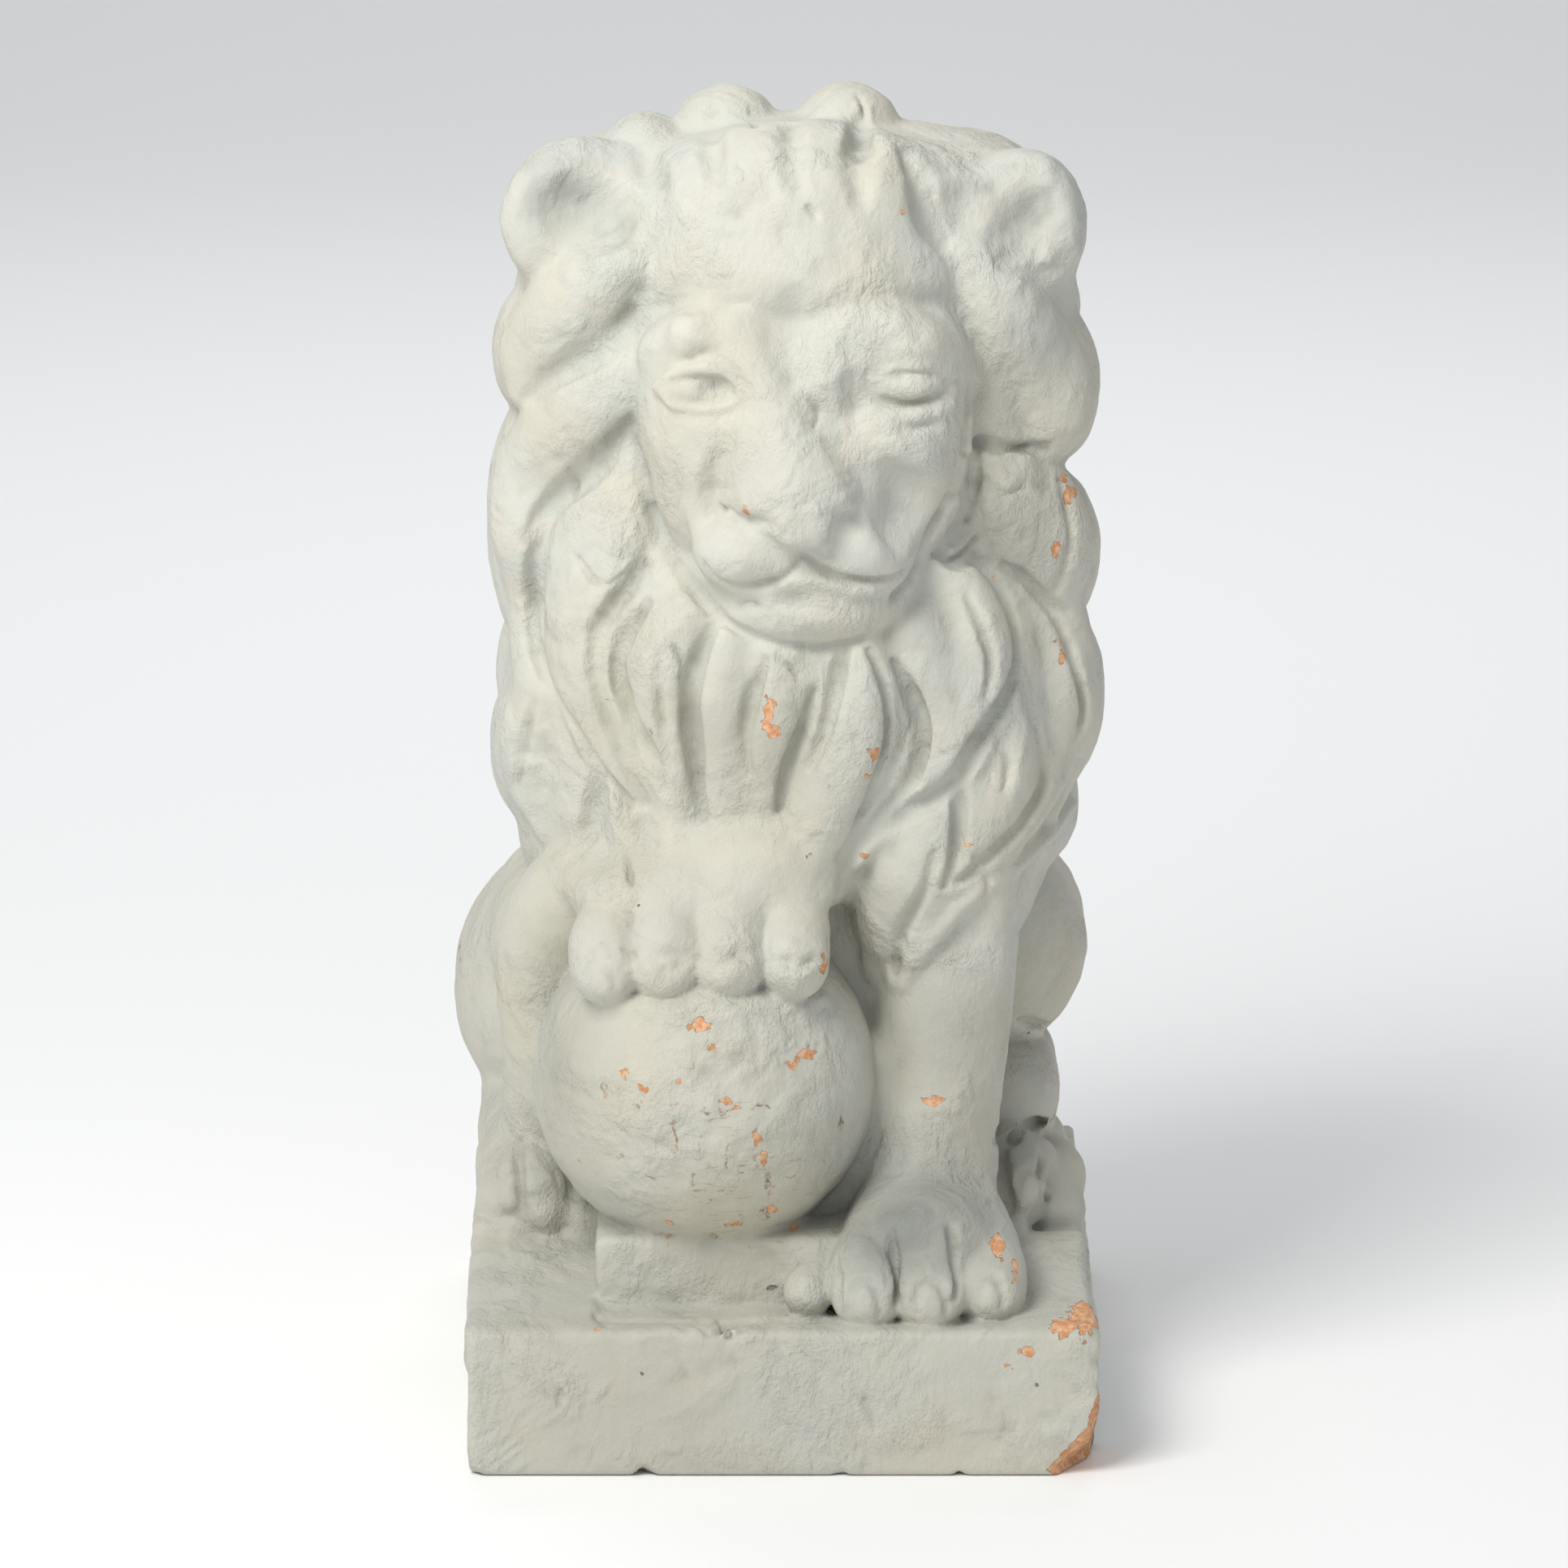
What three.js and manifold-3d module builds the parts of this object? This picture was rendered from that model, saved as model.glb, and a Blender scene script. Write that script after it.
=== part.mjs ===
// Terracotta garden lion, seated on its plinth with one forepaw on a ball, cast as one piece.
// Millimetres, Z up. X runs to the right and Y away from someone who faces the lion.
// The origin is the middle of the underside of the plinth.
import * as THREE from "three";
import { mergeVertices } from "three/addons/utils/BufferGeometryUtils.js";
import Module from "manifold-3d";

// Plinth: a plain block with one lower front corner broken away.
const PLINTH_WIDTH = 320;
const PLINTH_DEPTH = 400;
const PLINTH_HEIGHT = 77;
const PLINTH_EDGE = 2.5;
const BROKEN_CORNER = [26, 22, 40];

// Ball under the raised paw.
const BALL_RADIUS = 88;

// The front is laid out as seen by someone 4.5 m away who looks 13 degrees down at a point
// 316 mm up the lion: x across and h up from that point, in millimetres.
const LOOK_DISTANCE = 4500;
const LOOK_DOWN = THREE.MathUtils.degToRad(13);
const LOOK_AT = new THREE.Vector3(0.4, 0, 315.6);

// Size of the cells that the clay is worked in, and how far the clay is known around a form.
const CELL = 5;
const FAR = 60;

// Space the clay is worked in.
const CLAY_LOW = new THREE.Vector3(-190, -215, 45);
const CLAY_HIGH = new THREE.Vector3(190, 215, 712);

// Triangles left once the clay skin is thinned.
const SKIN_TRIANGLES = 8200;

// Weight given to even edges as the skin is thinned.
const EVENNESS = 0.02;

const LOOK_FORWARD = new THREE.Vector3(0, Math.cos(LOOK_DOWN), -Math.sin(LOOK_DOWN));
const LOOK_UP = new THREE.Vector3(0, Math.sin(LOOK_DOWN), Math.cos(LOOK_DOWN));
const EYE = LOOK_AT.clone().addScaledVector(LOOK_FORWARD, -LOOK_DISTANCE);

// Direction from the eye through a place in the front layout.
function sightLine(x, h) {
  const aim = LOOK_AT.clone().addScaledVector(LOOK_UP, h);
  aim.x += x;
  return aim.sub(EYE).normalize();
}

// Place in space that is seen at x, h in the front layout and lies at depth y.
function front(x, h, y) {
  const line = sightLine(x, h);
  return EYE.clone().addScaledVector(line, (y - EYE.y) / line.y).toArray();
}

// Two distances joined with a rounded seam.
function softMin(a, b, blend) {
  if (blend <= 0) return Math.min(a, b);
  const h = Math.max(blend - Math.abs(a - b), 0) / blend;
  return Math.min(a, b) - h * h * blend * 0.25;
}

// Distance to an ellipsoid from u, v, w in its own axes.
function eggDistance(u, v, w, a, b, c) {
  const near = Math.hypot(u / a, v / b, w / c);
  const slope = Math.hypot(u / (a * a), v / (b * b), w / (c * c));
  return near < 0.001 ? -Math.min(a, b, c) : (near * (near - 1)) / slope;
}

// A form is a box that holds it and the signed distance from its surface.
function turned(centre, turns, reach, distance) {
  const [rx, ry, rz] = turns.map((degrees) => THREE.MathUtils.degToRad(degrees));
  const axes = new THREE.Matrix4().makeRotationFromEuler(new THREE.Euler(rx, ry, rz, "ZYX"));
  const m = axes.elements;
  const size = [0, 1, 2].map((i) => Math.hypot(m[i] * reach[0], m[i + 4] * reach[1], m[i + 8] * reach[2]));
  return {
    low: centre.map((value, i) => value - size[i]),
    high: centre.map((value, i) => value + size[i]),
    distance(x, y, z) {
      const dx = x - centre[0];
      const dy = y - centre[1];
      const dz = z - centre[2];
      return distance(
        m[0] * dx + m[1] * dy + m[2] * dz,
        m[4] * dx + m[5] * dy + m[6] * dz,
        m[8] * dx + m[9] * dy + m[10] * dz
      );
    },
  };
}

// Ellipsoid with three half sizes.
function egg(centre, radii, turns) {
  return turned(centre, turns, radii, (u, v, w) => eggDistance(u, v, w, ...radii));
}

// Block with three half sizes and rounded edges.
function slab(centre, half, turns, edge) {
  const reach = half.map((value) => value * 1.8);
  return turned(centre, turns, reach, (u, v, w) => {
    const a = Math.abs(u) - half[0] + edge;
    const b = Math.abs(v) - half[1] + edge;
    const c = Math.abs(w) - half[2] + edge;
    return Math.hypot(Math.max(a, 0), Math.max(b, 0), Math.max(c, 0)) + Math.min(Math.max(a, b, c), 0) - edge;
  });
}

// Short straight steps along a smooth curve through rows of numbers.
function steps(rows, perSpan) {
  const last = rows.length - 1;
  const smooth = (points) => new THREE.CatmullRomCurve3(points, false, "catmullrom");
  const spine = smooth(rows.map((row) => new THREE.Vector3(row[0], row[1], row[2])));
  const girth = smooth(rows.map((row) => new THREE.Vector3(row[3], row[4] ?? 0, 0)));
  const count = last * perSpan;
  return Array.from({ length: count + 1 }, (_, i) => {
    const at = spine.getPoint(i / count);
    const size = girth.getPoint(i / count);
    return [at.x, at.y, at.z, Math.max(size.x, 0.6), Math.max(size.y, 0.6)];
  });
}

function around(path) {
  return {
    low: [0, 1, 2].map((i) => Math.min(...path.map((p) => p[i] - p[3] - 2))),
    high: [0, 1, 2].map((i) => Math.max(...path.map((p) => p[i] + p[3] + 2))),
  };
}

// Round limb through rows of x, y, z and radius.
function limb(rows) {
  const path = steps(rows, 5);
  return {
    ...around(path),
    distance(x, y, z) {
      let best = FAR * 4;
      for (let i = 0; i + 1 < path.length; i += 1) {
        const a = path[i];
        const b = path[i + 1];
        const ax = b[0] - a[0];
        const ay = b[1] - a[1];
        const az = b[2] - a[2];
        const dx = x - a[0];
        const dy = y - a[1];
        const dz = z - a[2];
        const t = THREE.MathUtils.clamp((dx * ax + dy * ay + dz * az) / (ax * ax + ay * ay + az * az), 0, 1);
        const gap = Math.hypot(dx - ax * t, dy - ay * t, dz - az * t) - a[3] - (b[3] - a[3]) * t;
        best = Math.min(best, gap);
      }
      return best;
    },
  };
}

// Flattened lock of hair through rows of x, y, z, half width and half thickness. Each row has
// an outward direction of its own.
function strand(rows, outward) {
  const path = steps(rows, 5);
  const out = steps(outward, 5).map((p) => new THREE.Vector3(p[0], p[1], p[2]).normalize());
  const spans = path.slice(1).map((b, i) => {
    const a = path[i];
    const along = new THREE.Vector3(b[0] - a[0], b[1] - a[1], b[2] - a[2]);
    const length = along.length();
    along.divideScalar(length);
    const up = out[i].clone().add(out[i + 1]);
    up.addScaledVector(along, -up.dot(along)).normalize();
    const side = along.clone().cross(up);
    return { a, b, along, length, up, side };
  });
  const gap = new THREE.Vector3();
  return {
    ...around(path),
    distance(x, y, z) {
      let best = FAR * 4;
      for (const { a, b, along, length, up, side } of spans) {
        gap.set(x - a[0], y - a[1], z - a[2]);
        const t = THREE.MathUtils.clamp(gap.dot(along) / length, 0, 1);
        gap.addScaledVector(along, -t * length);
        const wide = a[3] + (b[3] - a[3]) * t;
        const thick = a[4] + (b[4] - a[4]) * t;
        best = Math.min(best, eggDistance(gap.dot(up), gap.dot(side), gap.dot(along), thick, wide, wide));
      }
      return best;
    },
  };
}

// Clay: the signed distance from the lion's surface at the corners of a grid of cells.
class Clay {
  constructor(low, high, cell) {
    this.low = low;
    this.cell = cell;
    this.count = ["x", "y", "z"].map((axis) => Math.ceil((high[axis] - low[axis]) / cell) + 1);
    this.value = new Float32Array(this.count[0] * this.count[1] * this.count[2]).fill(FAR);
  }

  index(i, j, k) {
    return i + this.count[0] * (j + this.count[1] * k);
  }

  place(i, j, k) {
    return new THREE.Vector3(i, j, k).multiplyScalar(this.cell).add(this.low);
  }

  // Runs over the cell corners near a form.
  near(form, reach, work) {
    const { x, y, z } = this.low;
    const margin = reach + 3 * this.cell;
    const from = [x, y, z].map((low, i) => Math.max(Math.floor((form.low[i] - margin - low) / this.cell), 0));
    const to = [x, y, z].map((low, i) => {
      const reach = Math.ceil((form.high[i] + margin - low) / this.cell);
      return Math.min(reach, this.count[i] - 1);
    });
    for (let k = from[2]; k <= to[2]; k += 1) {
      for (let j = from[1]; j <= to[1]; j += 1) {
        for (let i = from[0]; i <= to[0]; i += 1) {
          const gap = form.distance(x + i * this.cell, y + j * this.cell, z + k * this.cell);
          work(this.index(i, j, k), gap);
        }
      }
    }
  }

  add(form, blend) {
    this.near(form, blend, (at, gap) => {
      this.value[at] = softMin(this.value[at], gap, blend);
    });
  }

  cut(form, blend) {
    this.near(form, blend, (at, gap) => {
      this.value[at] = -softMin(-this.value[at], gap, blend);
    });
  }

  // Distance from the surface at any place.
  gapAt(place, value = this.value) {
    const g = place.clone().sub(this.low).divideScalar(this.cell).toArray();
    const base = g.map((c, i) => THREE.MathUtils.clamp(Math.floor(c), 0, this.count[i] - 2));
    const part = g.map((c, i) => THREE.MathUtils.clamp(c - base[i], 0, 1));
    let sum = 0;
    for (let corner = 0; corner < 8; corner += 1) {
      const step = [corner & 1, (corner >> 1) & 1, (corner >> 2) & 1];
      const weight = step.reduce((w, s, i) => w * (s ? part[i] : 1 - part[i]), 1);
      sum += weight * value[this.index(base[0] + step[0], base[1] + step[1], base[2] + step[2])];
    }
    return sum;
  }

  // Direction straight out of the surface.
  outward(place, value = this.value) {
    const slope = [new THREE.Vector3(4, 0, 0), new THREE.Vector3(0, 4, 0), new THREE.Vector3(0, 0, 4)].map(
      (side) => this.gapAt(place.clone().add(side), value) - this.gapAt(place.clone().sub(side), value)
    );
    return new THREE.Vector3(...slope).normalize();
  }

  // First place where a line meets the surface, or the place where it passes closest.
  meet(start, line, reach, value = this.value) {
    let closest = start;
    let least = Infinity;
    const stride = this.cell / 2;
    for (let way = 0; way < reach; way += stride) {
      const at = start.clone().addScaledVector(line, way);
      const gap = this.gapAt(at, value);
      if (gap < 0) {
        const fall = least - gap > 0.001 ? least - gap : stride;
        return at.addScaledVector(line, (stride * gap) / fall);
      }
      if (gap < least) {
        least = gap;
        closest = at;
      }
    }
    return closest;
  }
}

// Hand that works the front of the clay, as it was when the hand last looked.
class Hand {
  constructor(clay) {
    this.clay = clay;
    this.look();
  }

  look() {
    this.seen = this.clay.value.slice();
  }

  // Place on the surface at x, h in the front layout, and the way out of it.
  touch(x, h) {
    const line = sightLine(x, h);
    const start = EYE.clone().addScaledVector(line, LOOK_DISTANCE - 420);
    const at = this.clay.meet(start, line, 700, this.seen);
    return { at, out: this.clay.outward(at, this.seen) };
  }

  // Rows of x, h and half width become rows in space, moved out of the surface by
  // lift(half width, fade), where fade is 1 at the broadest row and less at narrow ends.
  lay(rows, lift) {
    const broad = Math.max(...rows.map((row) => row[2]));
    const laid = [];
    const outward = [];
    for (const [x, h, half] of rows) {
      const { at, out } = this.touch(x, h);
      at.addScaledVector(out, lift(half, half / broad));
      laid.push([at.x, at.y, at.z, half]);
      outward.push([out.x, out.y, out.z, 0]);
    }
    return { laid, outward };
  }

  lock(rows, rise, blend) {
    const sunk = 6;
    const { laid, outward } = this.lay(rows, () => -sunk);
    const broad = Math.max(...rows.map((row) => row[2]));
    laid.forEach((row) => row.push(rise * row[3] / broad + sunk));
    this.clay.add(strand(laid, outward), blend);
  }

  ridge(rows, rise, blend) {
    this.clay.add(limb(this.lay(rows, (half, fade) => rise * fade - half).laid), blend);
  }

  groove(rows, deep, blend) {
    this.clay.cut(limb(this.lay(rows, (half, fade) => half - deep * fade).laid), blend);
  }

  lump(x, h, radii, rise, blend) {
    const { at, out } = this.touch(x, h);
    at.addScaledVector(out, rise - radii[1]);
    this.clay.add(egg(at.toArray(), radii, [0, 0, 0]), blend);
  }

  dent(x, h, radii, deep, blend) {
    const { at, out } = this.touch(x, h);
    at.addScaledVector(out, radii[1] - deep);
    this.clay.cut(egg(at.toArray(), radii, [0, 0, 0]), blend);
  }
}


// Plain lock laid on the mane's side or back: rows of turn, height and half width, where turn 0
// is the left side, 90 the back and 180 the right side.
function laid(clay, places, rise) {
  const rows = [];
  const outward = [];
  const broad = Math.max(...places.map((row) => row[2]));
  for (const [turn, z, wide] of places) {
    const angle = THREE.MathUtils.degToRad(turn);
    const away = new THREE.Vector3(-Math.cos(angle), Math.sin(angle), 0);
    const start = new THREE.Vector3(6, -5, z).addScaledVector(away, 240);
    const at = clay.meet(start, away.clone().negate(), 235);
    const out = clay.outward(at);
    at.addScaledVector(out, -6);
    rows.push([at.x, at.y, at.z, wide, 6 + rise * wide / broad]);
    outward.push([out.x, out.y, out.z, 0]);
  }
  clay.add(strand(rows, outward), 4);
}

function bodyMasses(clay) {
  // back and belly, from the rump up to the neck
  clay.add(limb([[0, 118, 175, 78], [0, 95, 260, 96], [2, 45, 350, 104], [4, 0, 440, 100]]), 10);
  // the clay left standing between the legs
  clay.add(slab([8, -5, 178], [98, 80, 122], [0, 0, 0], 30), 10);
  clay.add(slab([34, -90, 146], [24, 22, 60], [0, 0, 0], 12), 8);
  // block of the mane
  clay.add(slab([6, -8, 480], [138, 86, 168], [0, 0, 0], 66), 20);
  clay.add(slab([8, -10, 580], [136, 78, 78], [0, 0, 0], 50), 20);
  clay.add(egg([8, -10, 625], [104, 66, 46], [0, 0, 0]), 15);
  // chest hair, longest over the standing leg
  clay.add(egg([4, -62, 398], [124, 74, 96], [0, 0, 0]), 20);
  clay.add(limb([[74, -54, 400, 62], [86, -68, 345, 52], [78, -78, 305, 42], [62, -88, 276, 28],
    [54, -96, 258, 13]]), 14);
  clay.add(limb([[20, -70, 380, 62], [14, -88, 325, 44], [10, -100, 300, 30]]), 14);
  clay.add(limb([[-62, -50, 390, 60], [-66, -66, 330, 46], [-40, -84, 300, 38]]), 14);
  // shoulders
  for (const side of [-1, 1]) {
    clay.add(egg([side * 84 + 2, -20, 320], [58, 72, 100], [0, 0, 0]), 20);
    clay.add(egg([side * 82, 20, 360], [62, 80, 90], [0, 0, 0]), 20);
  }
}

function hindLegs(clay) {
  // haunches
  clay.add(egg([-108, 82, 188], [68, 100, 78], [0, 0, 0]), 24);
  clay.add(egg([92, 112, 196], [54, 86, 80], [0, 0, 0]), 24);
  // leg beside the ball: knee, shin and foot
  clay.add(limb([[-112, 60, 230, 46], [-112, 0, 230, 40], [-104, -40, 226, 35], [-116, -52, 196, 28],
    [-122, -36, 140, 26]]), 6);
  clay.add(limb([[-134, 60, 128, 28], [-134, 0, 124, 27], [-131, -62, 114, 24]]), 8);
  // leg beside the standing foreleg: knee, hock and foot
  clay.add(limb([[101, 80, 219, 60], [101, 44, 219, 60]]), 6);
  clay.add(limb([[110, 60, 150, 36], [117, 14, 147, 29], [117, -6, 142, 27]]), 3);
  clay.add(limb([[126, 40, 107, 26], [126, -10, 106, 25], [126, -34, 104, 22]]), 4);
}

function tail(clay) {
  // tail lying along the back of the haunch, with a tuft at its end
  clay.add(limb([[6, 190, 176, 16], [20, 198, 140, 14], [58, 186, 112, 13], [96, 172, 108, 13],
    [120, 142, 108, 13], [124, 112, 110, 13]]), 6);
  clay.add(limb([[124, 122, 110, 14], [125, 98, 112, 18], [127, 76, 112, 14], [130, 62, 110, 6]]), 4);
}

function forelegs(clay) {
  // standing foreleg and its foot
  clay.add(limb([[84, -40, 380, 50], [85, -62, 300, 40], [84, -84, 225, 34], [76, -94, 160, 32],
    [75, -104, 126, 35], [74, -120, 106, 36]]), 12);
  clay.add(slab([84, -78, 225], [31, 33, 100], [4, 3, 0], 16), 8);
  // raised foreleg: elbow low behind the ball, forearm up to the paw
  clay.add(limb([[-50, -108, 288, 30], [-84, -84, 285, 31], [-112, -66, 262, 31], [-121, -58, 226, 28],
    [-118, -56, 184, 25], [-108, -58, 150, 20]]), 4);
  clay.add(limb([[-84, -40, 380, 50], [-66, -62, 330, 42], [-34, -92, 300, 34], [-26, -110, 285, 34]]), 12);
  clay.add(egg([-42, -124, 268], [58, 34, 28], [30, 0, 0]), 8);
  // ball
  clay.add(egg([-40.6, -105, 185], [BALL_RADIUS, BALL_RADIUS, BALL_RADIUS], [0, 0, 0]), 2);
}

function outerTufts(clay) {
  // tufts that make the scalloped outline of the mane: across, up, depth, then their half sizes
  for (const [x, h, y, wide, deep, tall] of [ [-128, 227, -26, 24, 44, 36], [-127, 138, -22, 28, 46, 70],
    [-130, 22, -22, 24, 46, 41], [138, 210, -28, 27, 46, 42], [137, 123, -28, 28, 44, 44],
    [142, 49, -26, 26, 46, 48], [132, -8, -6, 22, 40, 34]]) {
    clay.add(egg(front(x, h, y), [wide, deep, tall], [0, 0, 0]), 6);
  }
}

function crown(clay, hand) {
  // fringe standing forward over the brow, and curls behind it on top of the head
  clay.add(egg(front(8, 300, -70), [82, 52, 46], [0, 0, 0]), 18);
  for (const [x, h, y, wide, tall] of [ [-30, 339, -4, 28, 26], [33, 340, -4, 28, 27],
    [-72, 329, -14, 24, 22], [71, 326, -10, 22, 18], [-100, 316, -34, 24, 18], [98, 316, -24, 22, 16]]) {
    clay.add(egg(front(x, h, y), [wide, 34, tall], [0, 0, 0]), 4);
  }
  hand.look();
  hand.groove([[-38, 352, 4], [-38, 338, 7], [-36, 318, 4]], 5, 6);
  hand.groove([[3, 346, 4], [4, 333, 7], [5, 314, 3]], 5, 6);
  hand.groove([[40, 346, 4], [39, 328, 8], [40, 306, 4]], 6, 6);
  hand.groove([[66, 328, 5], [75, 310, 10], [80, 290, 11], [89, 268, 9], [98, 244, 6]], 11, 7);
  hand.groove([[-72, 330, 5], [-66, 304, 9], [-70, 278, 9], [-76, 250, 8], [-80, 225, 5]], 5, 8);
}

function maneLocks(hand) {
  // left side: tufts behind, then the front layer
  hand.lock([[-134, 87, 16], [-132, 49, 19], [-133, 20, 19], [-132, -6, 15], [-128, -24, 7]], 8, 4);
  hand.lock([[-74, 223, 14], [-104, 198, 22], [-130, 166, 25], [-137, 130, 20], [-134, 96, 12]], 11, 5);
  hand.lock([[-82, 272, 14], [-111, 256, 20], [-130, 232, 22], [-134, 206, 14]], 11, 4);
  hand.lock([[-62, 165, 18], [-94, 134, 28], [-108, 87, 26], [-104, 49, 22], [-91, 15, 16],
    [-77, -12, 7]], 11, 4);
  // right side, top to bottom
  hand.lock([[93, 272, 14], [116, 248, 21], [137, 221, 24], [141, 194, 22], [134, 172, 12]], 12, 4);
  hand.lock([[112, 170, 16], [128, 148, 30], [134, 122, 28], [144, 98, 14]], 15, 3);
  hand.lock([[146, 96, 13], [157, 62, 14], [157, 32, 14], [146, 3, 13], [138, -19, 8]], 6, 4);
  hand.lock([[123, 115, 11], [140, 83, 18], [145, 49, 19], [142, 15, 17], [126, -16, 15],
    [97, -51, 8]], 11, 4);
  hand.lock([[119, 45, 9], [119, 15, 16], [112, -14, 17], [93, -44, 12]], 9, 5);
  hand.lock([[85, 113, 14], [101, 87, 18], [103, 54, 20], [87, 17, 22], [61, -8, 19],
    [36, -36, 12]], 13, 4);
  // tips over the standing leg
  hand.lock([[91, 8, 14], [74, -22, 25], [58, -55, 22], [47, -97, 9]], 10, 6);
  hand.lock([[104, -8, 14], [92, -36, 19], [73, -72, 14], [57, -103, 6]], 7, 6);
  // strand along the lower edge of the mane
  hand.lock([[150, -10, 5], [143, -18, 6], [129, -34, 7], [101, -55, 7], [78, -79, 7],
    [62, -105, 5]], 6, 3);
  // beard, right to left
  hand.lock([[70, 78, 14], [85, 45, 20], [84, 20, 19], [62, -6, 16], [34, -29, 10]], 9, 6);
  hand.lock([[36, 78, 14], [42, 49, 17], [37, 15, 20], [22, -14, 18], [14, -44, 8]], 11, 6);
  hand.lock([[-3, 78, 14], [-4, 45, 16], [-9, 11, 16], [-12, -24, 10]], 8, 6);
  hand.lock([[-28, 80, 12], [-33, 45, 16], [-31, 11, 16], [-28, -24, 12]], 8, 6);
  hand.lock([[-54, 90, 14], [-65, 58, 17], [-62, 20, 15], [-57, -19, 11], [-54, -44, 6]], 8, 6);
  // strands hanging onto the raised paw
  hand.lock([[-88, 0, 7], [-85, -24, 8], [-80, -46, 5]], 5, 4);
  hand.lock([[-63, -4, 6], [-60, -24, 7], [-58, -42, 4]], 4, 4);
  hand.look();
  // the combed lines between the strands, left to right
  for (const [deep, line] of [ [5, [[-73, 115, 4], [-88, 95, 5], [-98, 75, 5], [-97, 49, 4],
    [-85, 15, 3], [-73, -10, 2]]], [6, [[-72, 94, 3], [-83, 77, 4], [-87, 58, 5], [-80, 37, 4],
    [-70, 15, 4], [-63, -4, 2]]], [3, [[-65, 70, 1.5], [-67, 54, 2.5], [-64, 32, 2.5], [-60, 7, 1.5]]],
    [8, [[-36, 85, 3], [-44, 68, 5], [-49, 47, 6], [-48, 24, 6], [-45, 3, 5], [-42, -19, 3]]],
    [5, [[-10, 64, 2], [-17, 45, 4], [-20, 26, 3], [-19, 7, 2]]], [6, [[16, 49, 2], [11, 30, 3.5],
    [3, 9, 4], [-2, -14, 3]]], [6, [[32, 77, 3], [27, 54, 4.5], [22, 30, 4], [14, 9, 2]]],
    [5, [[45, 70, 2], [54, 49, 3], [56, 26, 3], [49, 3, 3], [40, -19, 2.5], [27, -40, 2]]],
    [7, [[58, 64, 2], [67, 45, 4.5], [71, 24, 5], [66, 3, 4.5], [51, -17, 4], [36, -34, 4],
    [26, -53, 3]]], [8, [[103, 117, 3], [115, 96, 5], [121, 70, 5], [118, 47, 6], [104, 22, 7],
    [89, 0, 6], [65, -15, 5], [41, -32, 4], [27, -54, 3]]], [4, [[96, 98, 1.5], [105, 79, 3],
    [109, 62, 2.5], [106, 45, 1.5]]], [4, [[112, 26, 1.5], [118, 11, 2.5], [115, -4, 1.5]]],
    [5, [[132, 30, 2], [137, 6, 3], [128, -16, 4], [106, -40, 4], [92, -52, 3]]], [7, [[94, 10, 2],
    [92, -14, 4.5], [90, -36, 4], [84, -54, 2]]], [5, [[79, -36, 2], [74, -55, 3], [62, -76, 4],
    [56, -97, 3]]], [4, [[123, 111, 2], [144, 85, 3], [154, 60, 3], [157, 32, 2.5], [147, 5, 1.5]]],
    [3, [[144, 160, 1.5], [150, 138, 2.5], [147, 113, 2], [140, 98, 1.5]]], [6, [[100, 120, 4],
    [90, 118, 6], [80, 122, 4]]], [6, [[97, 179, 3], [112, 178, 4], [128, 176, 3], [138, 175, 1.5]]],
    [5, [[99, 117, 2], [121, 111, 3], [140, 95, 3], [149, 90, 1.5]]], [5, [[-124, 138, 2],
    [-131, 117, 4], [-132, 87, 4], [-127, 62, 4], [-113, 34, 4], [-98, 9, 4], [-81, -12, 3]]],
    [6, [[-80, 248, 5], [-93, 230, 9], [-117, 214, 7], [-136, 201, 3]]], [5, [[-80, 190, 4],
    [-98, 166, 8], [-121, 147, 7], [-134, 128, 4]]], [3, [[-131, 43, 1.5], [-136, 20, 3],
    [-140, -4, 1.5]]], [6, [[-101, 11, 3], [-98, -8, 8], [-104, -31, 7], [-111, -48, 4]]]]) {
    hand.groove(line, deep, 3);
  }
}

function backLocks(clay) {
  // rows of plain tufts down the back of the mane
  for (let row = 0; row < 5; row += 1) {
    for (let i = 0; i < 5; i += 1) {
      const turn = 46 + (i + 0.5 * (row % 2)) * 20;
      const z = 610 - 62 * row;
      laid(clay, [[turn, z + 16, 5], [turn + 2, z - 4, 17], [turn + 3, z - 26, 20],
        [turn + 1, z - 54, 16], [turn - 3, z - 86, 3]], 9);
    }
  }
  // longer ones sweeping back along both sides
  for (const side of [-1, 1]) {
    for (let row = 0; row < 5; row += 1) {
      const z = 616 - 56 * row;
      laid(clay, [[90 + side * 70, z + 12, 4], [90 + side * 64, z - 2, 15], [90 + side * 57, z - 20, 20],
        [90 + side * 49, z - 46, 18], [90 + side * 43, z - 72, 11], [90 + side * 42, z - 94, 3]], 8);
      laid(clay, [[90 + side * 90, z + 30, 3], [90 + side * 84, z + 17, 12], [90 + side * 77, z, 20],
        [90 + side * 70, z - 25, 19], [90 + side * 65, z - 51, 12], [90 + side * 62, z - 74, 3]], 5);
    }
  }
  // tails of the longest ones over the shoulders
  for (const side of [-1, 1]) {
    laid(clay, [[90 + side * 82, 398, 4], [90 + side * 79, 372, 14], [90 + side * 77, 344, 17],
      [90 + side * 75, 316, 12], [90 + side * 73, 290, 3]], 5);
    laid(clay, [[90 + side * 66, 368, 4], [90 + side * 62, 350, 13], [90 + side * 58, 322, 16],
      [90 + side * 55, 292, 11], [90 + side * 54, 268, 3]], 6);
  }
}

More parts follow.
